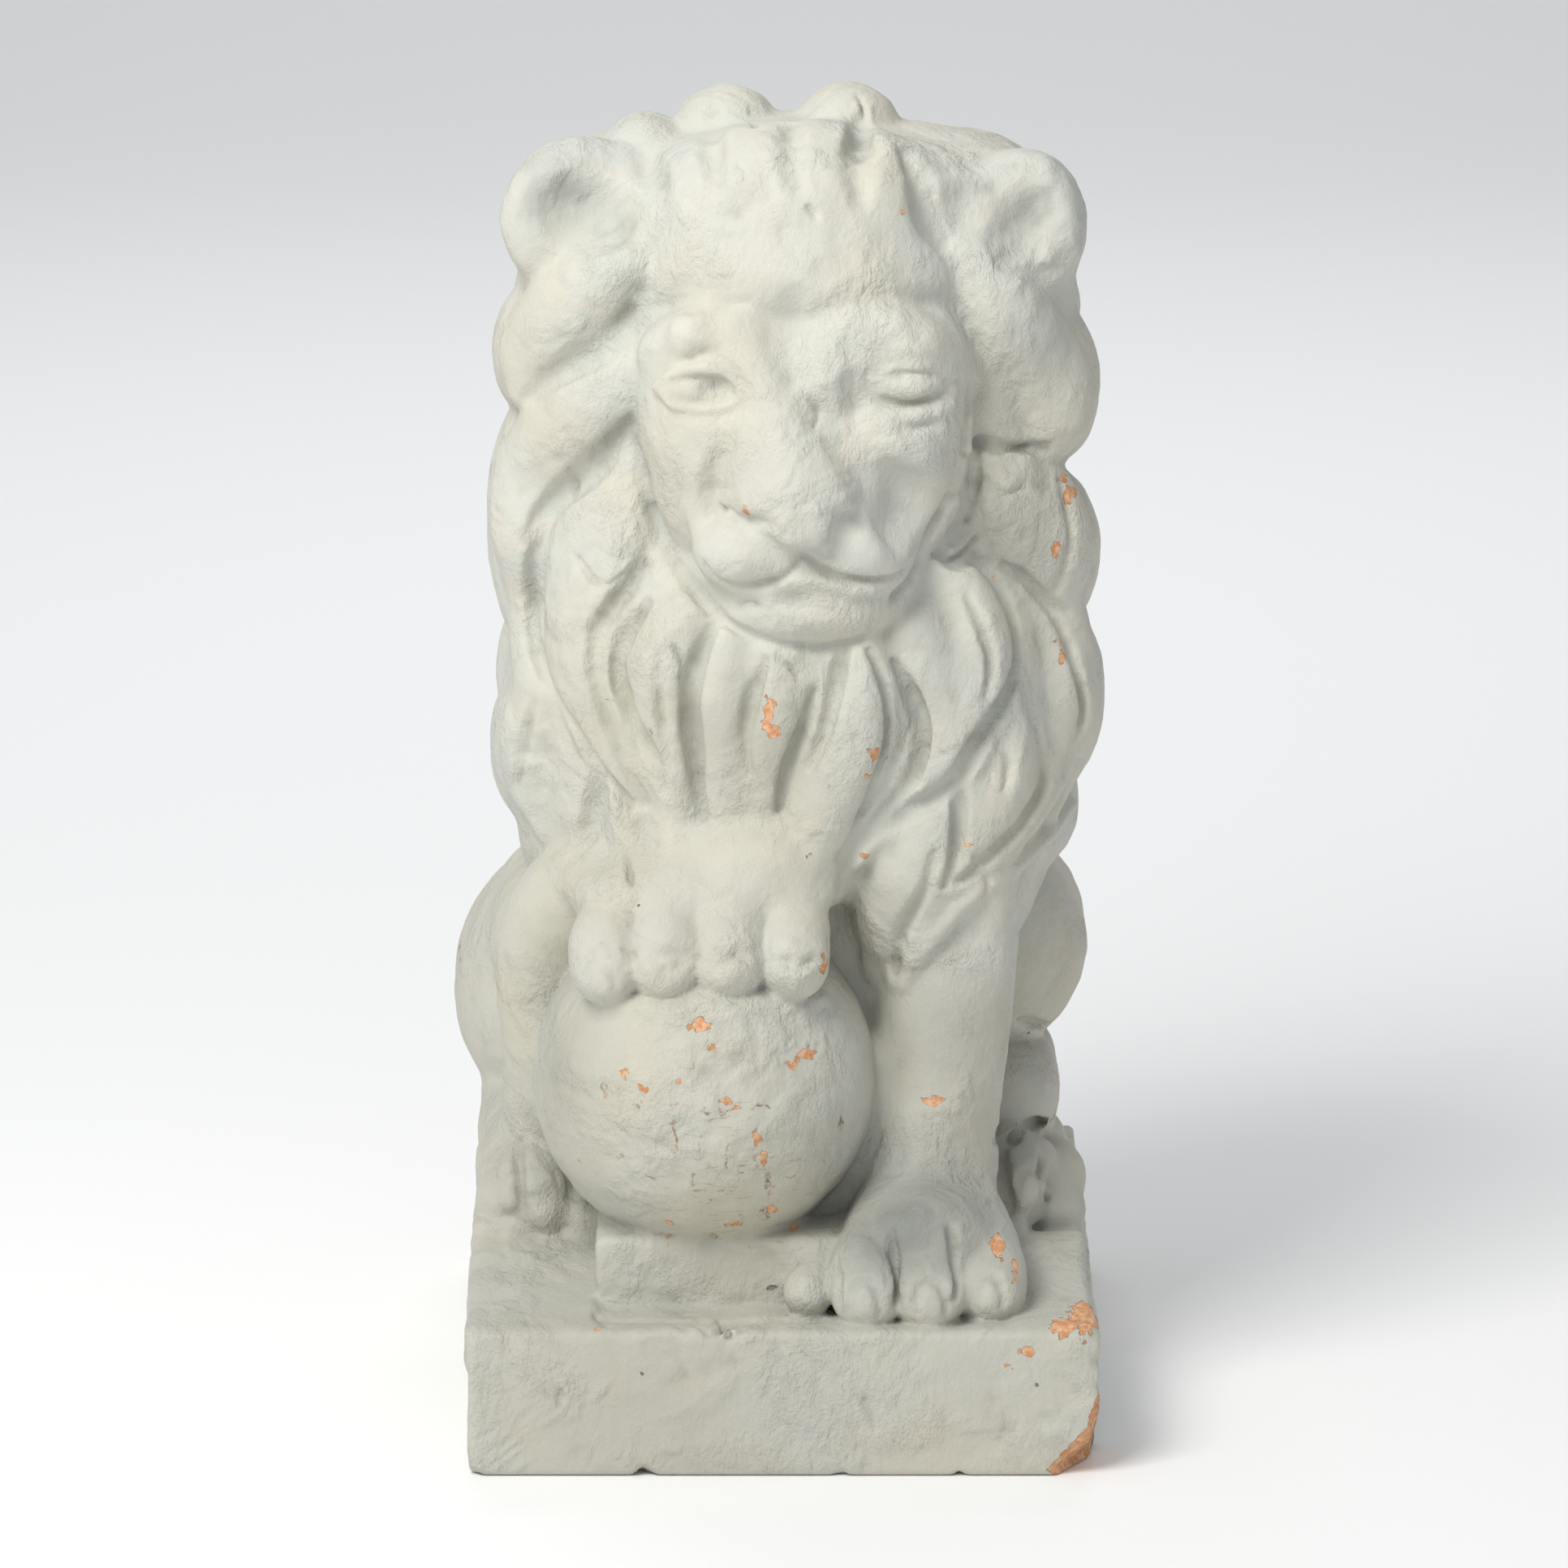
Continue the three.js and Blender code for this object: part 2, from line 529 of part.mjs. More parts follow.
function paws(clay) {
  // raised paw: four toes side by side over the ball, wide enough to leave narrow grooves between them
  for (const [x, low, r] of [[-90, 3, 19], [-60, 0, 21], [-28, 0, 21], [5, 2, 18.5]]) {
    clay.add(limb([[x * 0.9 - 4, -100, 279 - low, r * 0.85], [x * 0.98, -134, 276 - low, r * 0.95],
      [x, -149, 268 - low, r * 1.02], [x, -156, 259 - low, r * 0.96]]), 2);
  }
  // back of the paw
  clay.add(egg(front(-14, -42, -116), [42, 34, 28], [0, 0, 0]), 6);
  clay.add(egg(front(-64, -54, -104), [50, 36, 24], [0, 0, 0]), 8);
  clay.add(egg(front(-42, -57, -130), [66, 25, 18], [0, 0, 0]), 8);
  // standing paw: toes spread from the ankle to the front of the plinth
  clay.add(egg([74, -122, 103], [46, 62, 33], [-16, 0, 0]), 6);
  for (const [x, y, r] of [[43, -178, 19], [74.5, -179, 19.5], [105, -169, 19]]) {
    clay.add(limb([[x * 0.5 + 37, y + 66, 128, r * 0.85], [x * 0.8 + 15, y + 38, 112, r * 0.95],
      [x, y + 12, 99, r * 1.03], [x, y, 91, r]]), 3);
  }
  clay.add(limb([[32, -120, 104, 12], [22, -148, 95, 13.5], [13, -168, 89, 13]]), 4);
  // toes of the hind paws
  for (const [x, y, z, r] of [[-146, -44, 124, 15], [-124, -52, 120, 15], [-104, -52, 116, 12],
    [106, -34, 118, 14], [122, -40, 124, 18], [143, -26, 112, 16]]) {
    clay.add(limb([[x * 0.97, y + 24, z, r * 0.9], [x, y, z, r], [x, y - 16, z - 9, r * 0.9],
      [x, y - 22, z - 14, r * 0.95]]), 3);
  }
}

function nails(hand) {
  // claws, oval plates in the ends of the toes
  for (const [x, h, wide, tall] of [[42, -273, 8, 12], [77, -273, 8, 12], [107, -268, 7, 10],
    [129, -215, 7, 12]]) {
    hand.groove([[x - wide, h - 6, 1.5], [x - wide, h + 3, 2.5], [x - wide * 0.5, h + tall, 3],
      [x + wide * 0.5, h + tall, 3], [x + wide, h + 3, 2.5], [x + wide, h - 6, 1.5]], 2.6, 1.5);
  }
  // knuckle creases of the raised toes
  for (const [x, h] of [[-90, -87], [-59, -89], [-27, -88], [6, -92]]) {
    hand.groove([[x - 12, h - 2, 1.5], [x, h, 3], [x + 12, h - 1, 1.5]], 1.6, 3);
  }
  // creases round the hind legs and paws
  for (const [deep, line] of [ [5, [[124, -124, 2], [131, -126, 3], [140, -127, 3]]],
    [6, [[112, -183, 3], [119, -185, 4], [130, -178, 4], [143, -171, 2]]], [5, [[113, -186, 3],
    [114, -205, 4], [119, -224, 3]]], [6, [[133, -180, 2], [136, -200, 3.5], [137, -225, 3]]],
    [4, [[-139, -186, 2], [-139, -203, 3], [-137, -222, 2]]], [4, [[56, -234, 2], [58, -250, 3.5],
    [58.5, -272, 2]]], [4, [[87, -232, 2], [90, -250, 3.5], [90, -270, 2]]], [3, [[27, -250, 2],
    [28, -262, 3], [29, -276, 2]]]]) {
    hand.groove(line, deep, 3);
  }
  // crease under the block of the ball
  hand.groove([[-96, -280, 2], [-60, -281, 4], [0, -281, 4], [24, -280, 2]], 5, 2);
}

function ears(clay, hand) {
  // cupped ears, rims towards the outside
  clay.add(egg(front(-106, 297, -46), [40, 28, 41], [0, 0, 0]), 8);
  clay.add(egg(front(-112, 296, -58), [36, 20, 36], [0, 0, 12]), 6);
  clay.add(egg(front(-98, 290, -16), [38, 40, 40], [0, 0, 0]), 10);
  clay.add(egg(front(124, 292, -46), [34, 28, 40], [0, 0, 0]), 6);
  clay.add(egg(front(126, 293, -58), [30, 20, 37], [0, 0, -10]), 6);
  clay.add(egg(front(114, 290, -16), [36, 38, 37], [0, 0, 0]), 10);
  hand.look();
  hand.dent(-104, 298, [34, 26, 22], 11, 9);
  hand.dent(-114, 296, [17, 16, 16], 6, 6);
  hand.dent(128, 294, [23, 22, 27], 8, 6);
  hand.dent(92, 300, [16, 20, 17], 8, 7);
}

function face(clay, hand) {
  // the mask of the face stands forward of the mane with a firm edge
  clay.add(egg(front(10, 266, -88), [74, 44, 34], [0, 0, 0]), 16);
  clay.add(slab(front(11, 203, -92), [85, 48, 58], [-4, 0, 0], 44), 5);
  clay.add(egg(front(12, 164, -94), [81, 52, 66], [0, 0, 0]), 5);
  clay.add(egg(front(15, 117, -98), [58, 54, 43], [0, 0, 0]), 8);
  hand.look();
  hand.groove([[-79, 180, 2], [-73, 158, 4], [-64, 132, 4], [-54, 112, 4], [-38, 92, 4], [-20, 80, 4],
    [0, 74, 4], [20, 73, 4], [40, 77, 4]], 3.5, 3);
  hand.groove([[40, 77, 4], [59, 98, 4], [70, 118, 4], [80, 136, 4], [91, 161, 4], [96, 188, 4],
    [98, 214, 3], [97, 226, 1.5]], 4, 3);
  // brows with the furrow between them
  hand.lock([[-72, 228, 8], [-52, 238, 13], [-33, 243, 15], [-22, 236, 13], [-18, 214, 10]], 5.5, 8);
  hand.lock([[100, 216, 7], [76, 230, 13], [52, 241, 15], [31, 238, 12], [24, 214, 8]], 6.5, 8);
  // nose: low bridge, then a broad wedge down to the nostrils
  hand.lock([[-14, 216, 9], [-14, 196, 14], [-17, 176, 16], [-18, 157, 17]], 6, 8);
  hand.lock([[-3, 208, 9], [-3, 198, 14], [-2, 187, 18], [-1, 175, 23], [3, 163, 27], [8, 151, 30],
    [10, 141, 23]], 21, 7);
  hand.look();
  hand.groove([[4, 254, 6], [5, 240, 10], [5, 226, 10], [4, 213, 6]], 2, 8);
  hand.groove([[15, 200, 4], [22, 189, 8], [32, 173, 9], [43, 154, 4]], 5, 6);
  hand.lump(-49, 235, [13, 10, 11], 2.5, 5);
  hand.lump(-20, 145, [11, 12, 8], 2, 4);
  hand.lump(36, 147, [10, 12, 8], 3, 4);
  clay.add(egg(front(10, 135, -160), [15, 12, 12], [0, 0, 0]), 5);
  hand.groove([[-49, 246, 1.5], [-36, 250, 3], [-20, 252, 1.5]], 1.5, 3);
  hand.groove([[-50, 221, 1.5], [-42, 225, 3], [-33, 223, 1.5]], 2, 3);
  // eyes in their sockets
  hand.dent(-43, 205, [27, 14, 16], 6, 6);
  hand.dent(64, 204, [30, 16, 17], 6.5, 8);
  hand.dent(38, 199, [12, 13, 18], 6, 5);
  hand.look();
  hand.lump(-46, 206, [22, 12, 10], 5, 3);
  hand.lump(64, 208, [20, 13, 10], 8, 3);
  hand.look();
  hand.ridge([[-68, 208, 1.5], [-58, 214, 3], [-42, 218, 3.5], [-29, 213, 3], [-21, 203, 1.5]], 4, 2);
  hand.ridge([[-64, 204, 1.5], [-57, 198, 3], [-42, 196, 3], [-28, 198, 3], [-21, 203, 1.5]], 3.2, 2);
  hand.dent(-37, 207, [10, 8, 7], 3.6, 2);
  hand.ridge([[46, 210, 1.5], [58, 218, 3], [76, 219, 3], [94, 213, 1.5]], 2.4, 2);
  hand.groove([[48, 201, 1.5], [57, 198, 3], [70, 199, 3], [84, 206, 3], [92, 212, 1.5]], 1.8, 3);
  hand.ridge([[42, 190, 3], [56, 192, 5], [72, 193, 5], [88, 199, 3]], 2.4, 4);
  hand.groove([[46, 184, 2], [60, 184, 3], [80, 189, 2]], 2, 3);
  // lips and chin
  clay.add(egg(front(-16, 123, -131), [31, 25, 21], [0, 0, 8]), 9);
  clay.add(egg(front(40, 126, -131), [28, 25, 22], [0, 0, -8]), 9);
  clay.add(egg(front(16, 93, -124), [42, 25, 17], [0, 0, 0]), 6);
  hand.look();
  hand.groove([[-42, 116, 1.5], [-36, 108, 2.5], [-22, 103.5, 3], [-7, 104.5, 3], [4, 111, 2.5],
    [10, 119, 1.5]], 3.4, 2);
  hand.groove([[12, 118, 1.5], [18, 113, 2.5], [30, 107, 3], [44, 105.5, 3], [56, 108, 2.5],
    [66, 115, 1.5]], 3.4, 2);
  hand.ridge([[14, 107, 2], [30, 101, 3.5], [46, 101, 3.5], [58, 105, 2]], 2, 3);
  hand.dent(8, 97, [28, 10, 6], 2.5, 5);
  // folds and hollows of the cheeks
  hand.dent(61, 148, [20, 16, 26], 5, 12);
  hand.ridge([[44, 184, 5], [58, 178, 8], [72, 170, 8], [82, 158, 5]], 3, 6);
  hand.ridge([[95, 190, 3], [91, 170, 6], [84, 146, 5], [78, 130, 3]], 3.5, 4);
  hand.groove([[-31, 178, 3], [-35, 162, 6], [-39, 144, 4]], 3, 6);
  hand.ridge([[-44, 166, 3], [-48, 150, 6], [-46, 134, 4]], 2, 6);
  hand.groove([[-38, 139, 2], [-24, 138, 3], [-8, 136, 3], [-2, 129, 2]], 1.4, 3);
  hand.groove([[24, 128, 2], [28, 136, 3.5], [42, 140, 3.5], [52, 138, 2]], 3, 3);
  // tuft under the chin on the right
  clay.add(limb([[...front(48, 92, -112), 9], [...front(56, 82, -116), 9],
    [...front(59, 72, -116), 5]]), 4);
}

function ground(clay) {
  // ground under the hind legs and block under the ball
  clay.add(slab([-17, 58, 76], [144.5, 141, 25], [0, 0, 0], 5), 5);
  clay.add(slab([139, -4, 76], [18, 66, 14], [0, 0, 0], 5), 5);
  clay.add(slab([-34, -98, 86], [62, 58, 28], [0, 0, 0], 5), 5);
  clay.add(slab([-128, -132, 74], [33.5, 64, 12], [8, 0, 0], 5), 4);
  clay.add(slab([136, -132, 74], [21, 64, 12], [8, 0, 0], 5), 4);
}

function lion(clay) {
  const hand = new Hand(clay);
  bodyMasses(clay);
  hindLegs(clay);
  tail(clay);
  forelegs(clay);
  outerTufts(clay);
  backLocks(clay);
  hand.look();
  crown(clay, hand);
  hand.look();
  maneLocks(hand);
  paws(clay);
  hand.look();
  nails(hand);
  ears(clay, hand);
  face(clay, hand);
  ground(clay);
}

// Closed skin of the clay: each cell is split into six tetrahedra round one diagonal, and each
// of those is cut where the surface passes.
function skin(clay) {
  const [nx, ny, nz] = clay.count;
  const corners = [[0, 0, 0], [1, 0, 0], [0, 1, 0], [1, 1, 0], [0, 0, 1], [1, 0, 1], [0, 1, 1], [1, 1, 1]];
  const sixths = [[0, 1, 3, 7], [0, 3, 2, 7], [0, 2, 6, 7], [0, 6, 4, 7], [0, 4, 5, 7], [0, 5, 1, 7]];
  const points = [];
  const triangles = [];
  const known = new Map();

  function crossing(p, q) {
    const a = Math.min(p.at, q.at);
    const key = a * 8 + p.bits + q.bits - 2 * (p.bits & q.bits);
    if (!known.has(key)) {
      const t = THREE.MathUtils.clamp(p.value / (p.value - q.value), 0.08, 0.92);
      known.set(key, points.length);
      points.push(p.place.clone().lerp(q.place, t));
    }
    return known.get(key);
  }

  for (let k = 0; k + 1 < nz; k += 1) {
    for (let j = 0; j + 1 < ny; j += 1) {
      for (let i = 0; i + 1 < nx; i += 1) {
        let within = 0;
        for (const [a, b, c] of corners) within += clay.value[clay.index(i + a, j + b, k + c)] < 0 ? 1 : 0;
        if (within === 0 || within === 8) continue;
        const cell = corners.map(([a, b, c], bits) => {
          const at = clay.index(i + a, j + b, k + c);
          return { at, bits, value: clay.value[at], place: clay.place(i + a, j + b, k + c) };
        });
        for (const sixth of sixths) {
          const four = sixth.map((corner) => cell[corner]);
          const inside = four.filter((corner) => corner.value < 0);
          const outside = four.filter((corner) => corner.value >= 0);
          if (inside.length === 0 || outside.length === 0) continue;
          // corners in order round the cut, as pairs of an inside and an outside corner
          let ring;
          if (inside.length === 1) ring = outside.map((q) => [inside[0], q]);
          else if (outside.length === 1) ring = inside.map((p) => [p, outside[0]]);
          else ring = [[0, 0], [0, 1], [1, 1], [1, 0]].map(([a, b]) => [inside[a], outside[b]]);
          const middle = ring.map(([p, q]) => p.place.clone().add(q.place).multiplyScalar(0.5));
          const way = middle[1].clone().sub(middle[0]).cross(middle[2].clone().sub(middle[0]));
          const sum = (list) => list.reduce((total, c) => total.add(c.place), new THREE.Vector3());
          const heart = (list) => sum(list).divideScalar(list.length);
          if (way.dot(heart(outside).sub(heart(inside))) < 0) ring.reverse();
          const found = ring.map(([p, q]) => crossing(p, q));
          triangles.push([found[0], found[1], found[2]]);
          if (found.length === 4) triangles.push([found[0], found[2], found[3]]);
        }
      }
    }
  }
  return { points, triangles };
}

// Smallest first queue of edges.
class Queue {
  constructor() {
    this.items = [];
  }

  push(item) {
    const list = this.items;
    list.push(item);
    let i = list.length - 1;
    while (i > 0) {
      const up = (i - 1) >> 1;
      if (list[up].cost <= item.cost) break;
      list[i] = list[up];
      i = up;
    }
    list[i] = item;
  }

  pop() {
    const list = this.items;
    const top = list[0];
    const item = list.pop();
    if (list.length > 0) {
      let i = 0;
      for (;;) {
        let next = 2 * i + 1;
        if (next >= list.length) break;
        if (next + 1 < list.length && list[next + 1].cost < list[next].cost) next += 1;
        if (list[next].cost >= item.cost) break;
        list[i] = list[next];
        i = next;
      }
      list[i] = item;
    }
    return top;
  }
}

// Thins a closed skin to a number of triangles by drawing short flat edges together, each to
// the place that stays closest to the faces that met there.
function thin({ points, triangles }, wanted) {
  const faces = triangles.map((face) => face.slice());
  const alive = new Uint8Array(faces.length).fill(1);
  const around = points.map(() => []);
  const error = points.map(() => new Float64Array(10));
  const lean = points.map(() => new THREE.Vector3());
  const stamp = new Int32Array(points.length);
  const ab = new THREE.Vector3();
  const ac = new THREE.Vector3();
  const normal = new THREE.Vector3();
  const wanting = new THREE.Vector3();
  let left = faces.length;

  function setNormal(a, b, c) {
    return normal.crossVectors(ab.subVectors(b, a), ac.subVectors(c, a));
  }

  faces.forEach((face, f) => {
    const [a, b, c] = face;
    const weight = setNormal(points[a], points[b], points[c]).length() / 2;
    for (const v of face) {
      around[v].push(f);
      lean[v].add(normal);
    }
    normal.normalize();
    const { x, y, z } = normal;
    const d = -normal.dot(points[a]);
    const plane = [x * x, x * y, x * z, x * d, y * y, y * z, y * d, z * z, z * d, d * d];
    for (const v of face) for (let i = 0; i < 10; i += 1) error[v][i] += plane[i] * weight;
  });
  lean.forEach((v) => v.normalize());

  function costAt(q, { x, y, z }) {
    return q[0] * x * x + q[4] * y * y + q[7] * z * z + q[9] +
      2 * (q[1] * x * y + q[2] * x * z + q[5] * y * z + q[3] * x + q[6] * y + q[8] * z);
  }

  const form = new THREE.Matrix3();
  const sum = new Float64Array(10);
  function edge(u, v) {
    const q = sum;
    for (let i = 0; i < 10; i += 1) q[i] = error[u][i] + error[v][i];
    const length = points[u].distanceTo(points[v]);
    const best = points[u].clone().add(points[v]).multiplyScalar(0.5);
    let cost = costAt(q, best);
    form.set(q[0], q[1], q[2], q[1], q[4], q[5], q[2], q[5], q[7]);
    if (form.determinant() > 0.0005 * (q[0] + q[4] + q[7]) ** 3) {
      const spot = new THREE.Vector3(-q[3], -q[6], -q[8]).applyMatrix3(form.invert());
      const least = costAt(q, spot);
      if (least < cost && spot.distanceTo(best) < 2 * length) {
        best.copy(spot);
        cost = least;
      }
    }
    return { u, v, best, cost: cost + EVENNESS * length * length, stamp: stamp[u] + stamp[v] };
  }

  function neighbours(v) {
    const found = new Set();
    for (const f of around[v]) for (const w of faces[f]) found.add(w);
    found.delete(v);
    return found;
  }

  // A face may turn as its corner moves, but it keeps facing the way its corners do.
  function keepsFaces(v, other, best) {
    for (const f of around[v]) {
      const face = faces[f];
      if (face.includes(other)) continue;
      const [a, b, c] = face.map((w) => (w === v ? best : points[w]));
      setNormal(a, b, c);
      const longest = Math.max(a.distanceToSquared(b), b.distanceToSquared(c), c.distanceToSquared(a));
      const size = normal.length();
      if (size < 0.05 * longest) return false;
      wanting.addVectors(lean[face[0]], lean[face[1]]).add(lean[face[2]]).normalize();
      if (normal.dot(wanting) < 0.3 * size) return false;
    }
    return true;
  }

  const queue = new Queue();
  points.forEach((_, u) => {
    for (const v of neighbours(u)) if (u < v) queue.push(edge(u, v));
  });
  while (left > wanted && queue.items.length > 0) {
    const { u, v, best, stamp: made } = queue.pop();
    if (around[u].length === 0 || around[v].length === 0 || made !== stamp[u] + stamp[v]) continue;
    const beside = neighbours(v);
    const shared = [...neighbours(u)].filter((w) => beside.has(w));
    if (shared.length !== 2 || !keepsFaces(u, v, best) || !keepsFaces(v, u, best)) continue;
    for (const f of around[v]) {
      const face = faces[f];
      if (face.includes(u)) {
        for (const w of face) if (w !== v) around[w] = around[w].filter((g) => g !== f);
        alive[f] = 0;
        left -= 1;
      } else {
        face[face.indexOf(v)] = u;
        around[u].push(f);
      }
    }
    around[v] = [];
    points[u] = best;
    lean[u].add(lean[v]).normalize();
    for (let i = 0; i < 10; i += 1) error[u][i] += error[v][i];
    stamp[u] += stamp[v] + 1;
    for (const w of neighbours(u)) queue.push(edge(u, w));
  }
  return { points, triangles: faces.filter((_, f) => alive[f]) };
}

const wasm = await Module();
wasm.setup();

// Solid of a closed skin.
function solidOfSkin({ points, triangles }) {
  const order = new Map();
  const place = [];
  const triVerts = triangles.flat().map((v) => {
    if (!order.has(v)) {
      order.set(v, order.size);
      place.push(...points[v].toArray());
    }
    return order.get(v);
  });
  return new wasm.Manifold(
    new wasm.Mesh({
      numProp: 3,
      vertProperties: Float32Array.from(place),
      triVerts: Uint32Array.from(triVerts),
    })
  );
}

// Solid of a three.js geometry.
function solidOf(geometry) {
  geometry.deleteAttribute("normal");
  geometry.deleteAttribute("uv");
  const merged = mergeVertices(geometry, 0.001);
  return new wasm.Manifold(
    new wasm.Mesh({
      numProp: 3,
      vertProperties: Float32Array.from(merged.attributes.position.array),
      triVerts: Uint32Array.from(merged.index.array),
    })
  );
}

// The plinth is a rounded outline drawn upwards, with a corner knocked off low at the front.
function plinth() {
  const w = PLINTH_WIDTH / 2;
  const d = PLINTH_DEPTH / 2;
  const r = 4;
  const outline = new THREE.Shape();
  outline.moveTo(-w + r, -d);
  outline.lineTo(w - r, -d).quadraticCurveTo(w, -d, w, -d + r);
  outline.lineTo(w, d - r).quadraticCurveTo(w, d, w - r, d);
  outline.lineTo(-w + r, d).quadraticCurveTo(-w, d, -w, d - r);
  outline.lineTo(-w, -d + r).quadraticCurveTo(-w, -d, -w + r, -d);
  const block = new THREE.ExtrudeGeometry(outline, {
    depth: PLINTH_HEIGHT - 2 * PLINTH_EDGE,
    bevelEnabled: true,
    bevelThickness: PLINTH_EDGE,
    bevelSize: PLINTH_EDGE,
    bevelOffset: -PLINTH_EDGE,
    bevelSegments: 1,
    curveSegments: 3,
  });
  block.translate(0, 0, PLINTH_EDGE);
  const [wide, deep, tall] = BROKEN_CORNER;
  const missing = new THREE.OctahedronGeometry(1);
  missing.scale(wide, deep, tall);
  missing.rotateZ(0.2);
  missing.translate(w + 2, -d - 1, 4);
  return solidOf(block).subtract(solidOf(missing));
}

const clay = new Clay(CLAY_LOW, CLAY_HIGH, CELL);
lion(clay);
const whole = plinth().add(solidOfSkin(thin(skin(clay), SKIN_TRIANGLES)));
const { vertProperties, triVerts } = whole.getMesh();

const geometry = new THREE.BufferGeometry();
geometry.setAttribute("position", new THREE.BufferAttribute(new Float32Array(vertProperties), 3));
geometry.setIndex(new THREE.BufferAttribute(new Uint32Array(triVerts), 1));
geometry.computeVertexNormals();

const paint = new THREE.MeshStandardMaterial({ color: 0xc9c9bd, roughness: 0.72, metalness: 0 });
const statue = new THREE.Mesh(geometry, paint);
statue.name = "lion_statue";

const model = new THREE.Group();
model.add(statue);

export default model;
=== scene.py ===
import itertools
import math

import bpy
import numpy as np
from mathutils import Matrix, Vector


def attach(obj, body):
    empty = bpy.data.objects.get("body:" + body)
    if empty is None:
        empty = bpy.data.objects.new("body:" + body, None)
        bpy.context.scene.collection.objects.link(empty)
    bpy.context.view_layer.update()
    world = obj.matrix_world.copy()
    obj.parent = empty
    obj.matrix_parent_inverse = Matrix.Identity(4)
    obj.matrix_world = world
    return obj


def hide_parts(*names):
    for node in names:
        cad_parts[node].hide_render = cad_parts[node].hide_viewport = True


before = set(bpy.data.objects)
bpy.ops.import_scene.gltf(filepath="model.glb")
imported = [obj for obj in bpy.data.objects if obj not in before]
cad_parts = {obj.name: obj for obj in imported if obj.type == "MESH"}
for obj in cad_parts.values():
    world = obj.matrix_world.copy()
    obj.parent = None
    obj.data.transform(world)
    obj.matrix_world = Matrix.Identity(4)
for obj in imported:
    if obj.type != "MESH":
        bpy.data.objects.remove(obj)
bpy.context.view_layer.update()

PLINTH_WIDTH = 320
PLINTH_DEPTH = 400
PLINTH_HEIGHT = 77
# half sizes of the two pieces broken off the low front corner on the right
BROKEN_CORNER = [(12, 52, 44), (27, 42, 28)]
BALL_RADIUS = 88

# The forms are laid out as seen from the front: x across and h up from the middle of the view.
PICTURE_SIDE = 1932
PICTURE_PER_MM = 2.355
LOOK_DISTANCE = 4500
LOOK_DOWN = math.radians(13)
LOOK_AT = np.array([0.4, 0.0, 315.6])

CELL = 1.8
TRIANGLES = 196000
FAR = 60.0
CLAY_LOW = (-190, -215, -6)
CLAY_HIGH = (190, 215, 712)
STEPS_PER_SPAN = 5

LINE = np.array([0.0, math.cos(LOOK_DOWN), -math.sin(LOOK_DOWN)])
UP = np.array([0.0, math.sin(LOOK_DOWN), math.cos(LOOK_DOWN)])
ACROSS = np.array([1.0, 0.0, 0.0])
EYE = LOOK_AT - LOOK_DISTANCE * LINE


def sight_line(x, h):
    line = LINE * LOOK_DISTANCE + ACROSS * x + UP * h
    return line / np.linalg.norm(line)


def front(x, h, y):
    """Place at depth y that is seen at x, h in the front layout."""
    line = sight_line(x, h)
    return [float(c) for c in EYE + line * (y - EYE[1]) / line[1]]


def join_softly(a, b, blend):
    if blend <= 0:
        return np.minimum(a, b)
    near = np.maximum(blend - np.abs(a - b), 0) / blend
    return np.minimum(a, b) - near * near * blend * 0.25


def turned(turn):
    """Rotation by turns in degrees about X, then Y, then Z."""
    a, b, c = np.radians(turn)
    about_x = np.array([[1, 0, 0], [0, np.cos(a), -np.sin(a)], [0, np.sin(a), np.cos(a)]])
    about_y = np.array([[np.cos(b), 0, np.sin(b)], [0, 1, 0], [-np.sin(b), 0, np.cos(b)]])
    about_z = np.array([[np.cos(c), -np.sin(c), 0], [np.sin(c), np.cos(c), 0], [0, 0, 1]])
    return about_z @ about_y @ about_x


def smooth_path(rows):
    """Smooth curve through the rows, with a few steps in every span."""
    rows = np.asarray(rows, float)
    ends = np.vstack([2 * rows[0] - rows[1], rows, 2 * rows[-1] - rows[-2]])
    path = []
    for a, b, c, d in zip(ends, ends[1:], ends[2:], ends[3:]):
        for t in np.arange(STEPS_PER_SPAN) / STEPS_PER_SPAN:
            path.append(0.5 * (2 * b + (c - a) * t + (2 * a - 5 * b + 4 * c - d) * t * t
                               + (3 * b - a - 3 * c + d) * t ** 3))
    return np.vstack([path, rows[-1]])


class Form:
    """A solid given by its signed distance, and the box it lies in."""

    def __init__(self, distance, low, high):
        self.distance = distance
        self.low = np.asarray(low, float)
        self.high = np.asarray(high, float)


def along_axes(x, y, z, centre, spin):
    x, y, z = x - centre[0], y - centre[1], z - centre[2]
    return [spin[0, i] * x + spin[1, i] * y + spin[2, i] * z for i in range(3)]


def egg_distance(u, v, w, radii):
    a, b, c = u / radii[0], v / radii[1], w / radii[2]
    reach = np.sqrt(a * a + b * b + c * c)
    steep = np.sqrt((a / radii[0]) ** 2 + (b / radii[1]) ** 2 + (c / radii[2]) ** 2)
    return np.where(reach < 0.001, -min(np.min(radii[0]), np.min(radii[2])),
                    reach * (reach - 1) / np.maximum(steep, 1e-6))


def egg(centre, radii, turn):
    spin = turned(turn)
    reach = np.sqrt((spin ** 2) @ (np.asarray(radii, float) ** 2))

    def distance(x, y, z):
        return egg_distance(*along_axes(x, y, z, centre, spin), radii)

    return Form(distance, centre - reach, centre + reach)


def slab(centre, half, turn, edge):
    """A block with rounded edges."""
    spin = turned(turn)
    inner = np.asarray(half, float) - edge
    reach = np.abs(spin) @ (inner + edge)

    def distance(x, y, z):
        over = [np.abs(d) - r for d, r in zip(along_axes(x, y, z, centre, spin), inner)]
        outside = np.sqrt(sum(np.maximum(d, 0) ** 2 for d in over))
        inside = np.minimum(np.maximum(over[0], np.maximum(over[1], over[2])), 0)
        return outside + inside - edge

    return Form(distance, centre - reach, centre + reach)


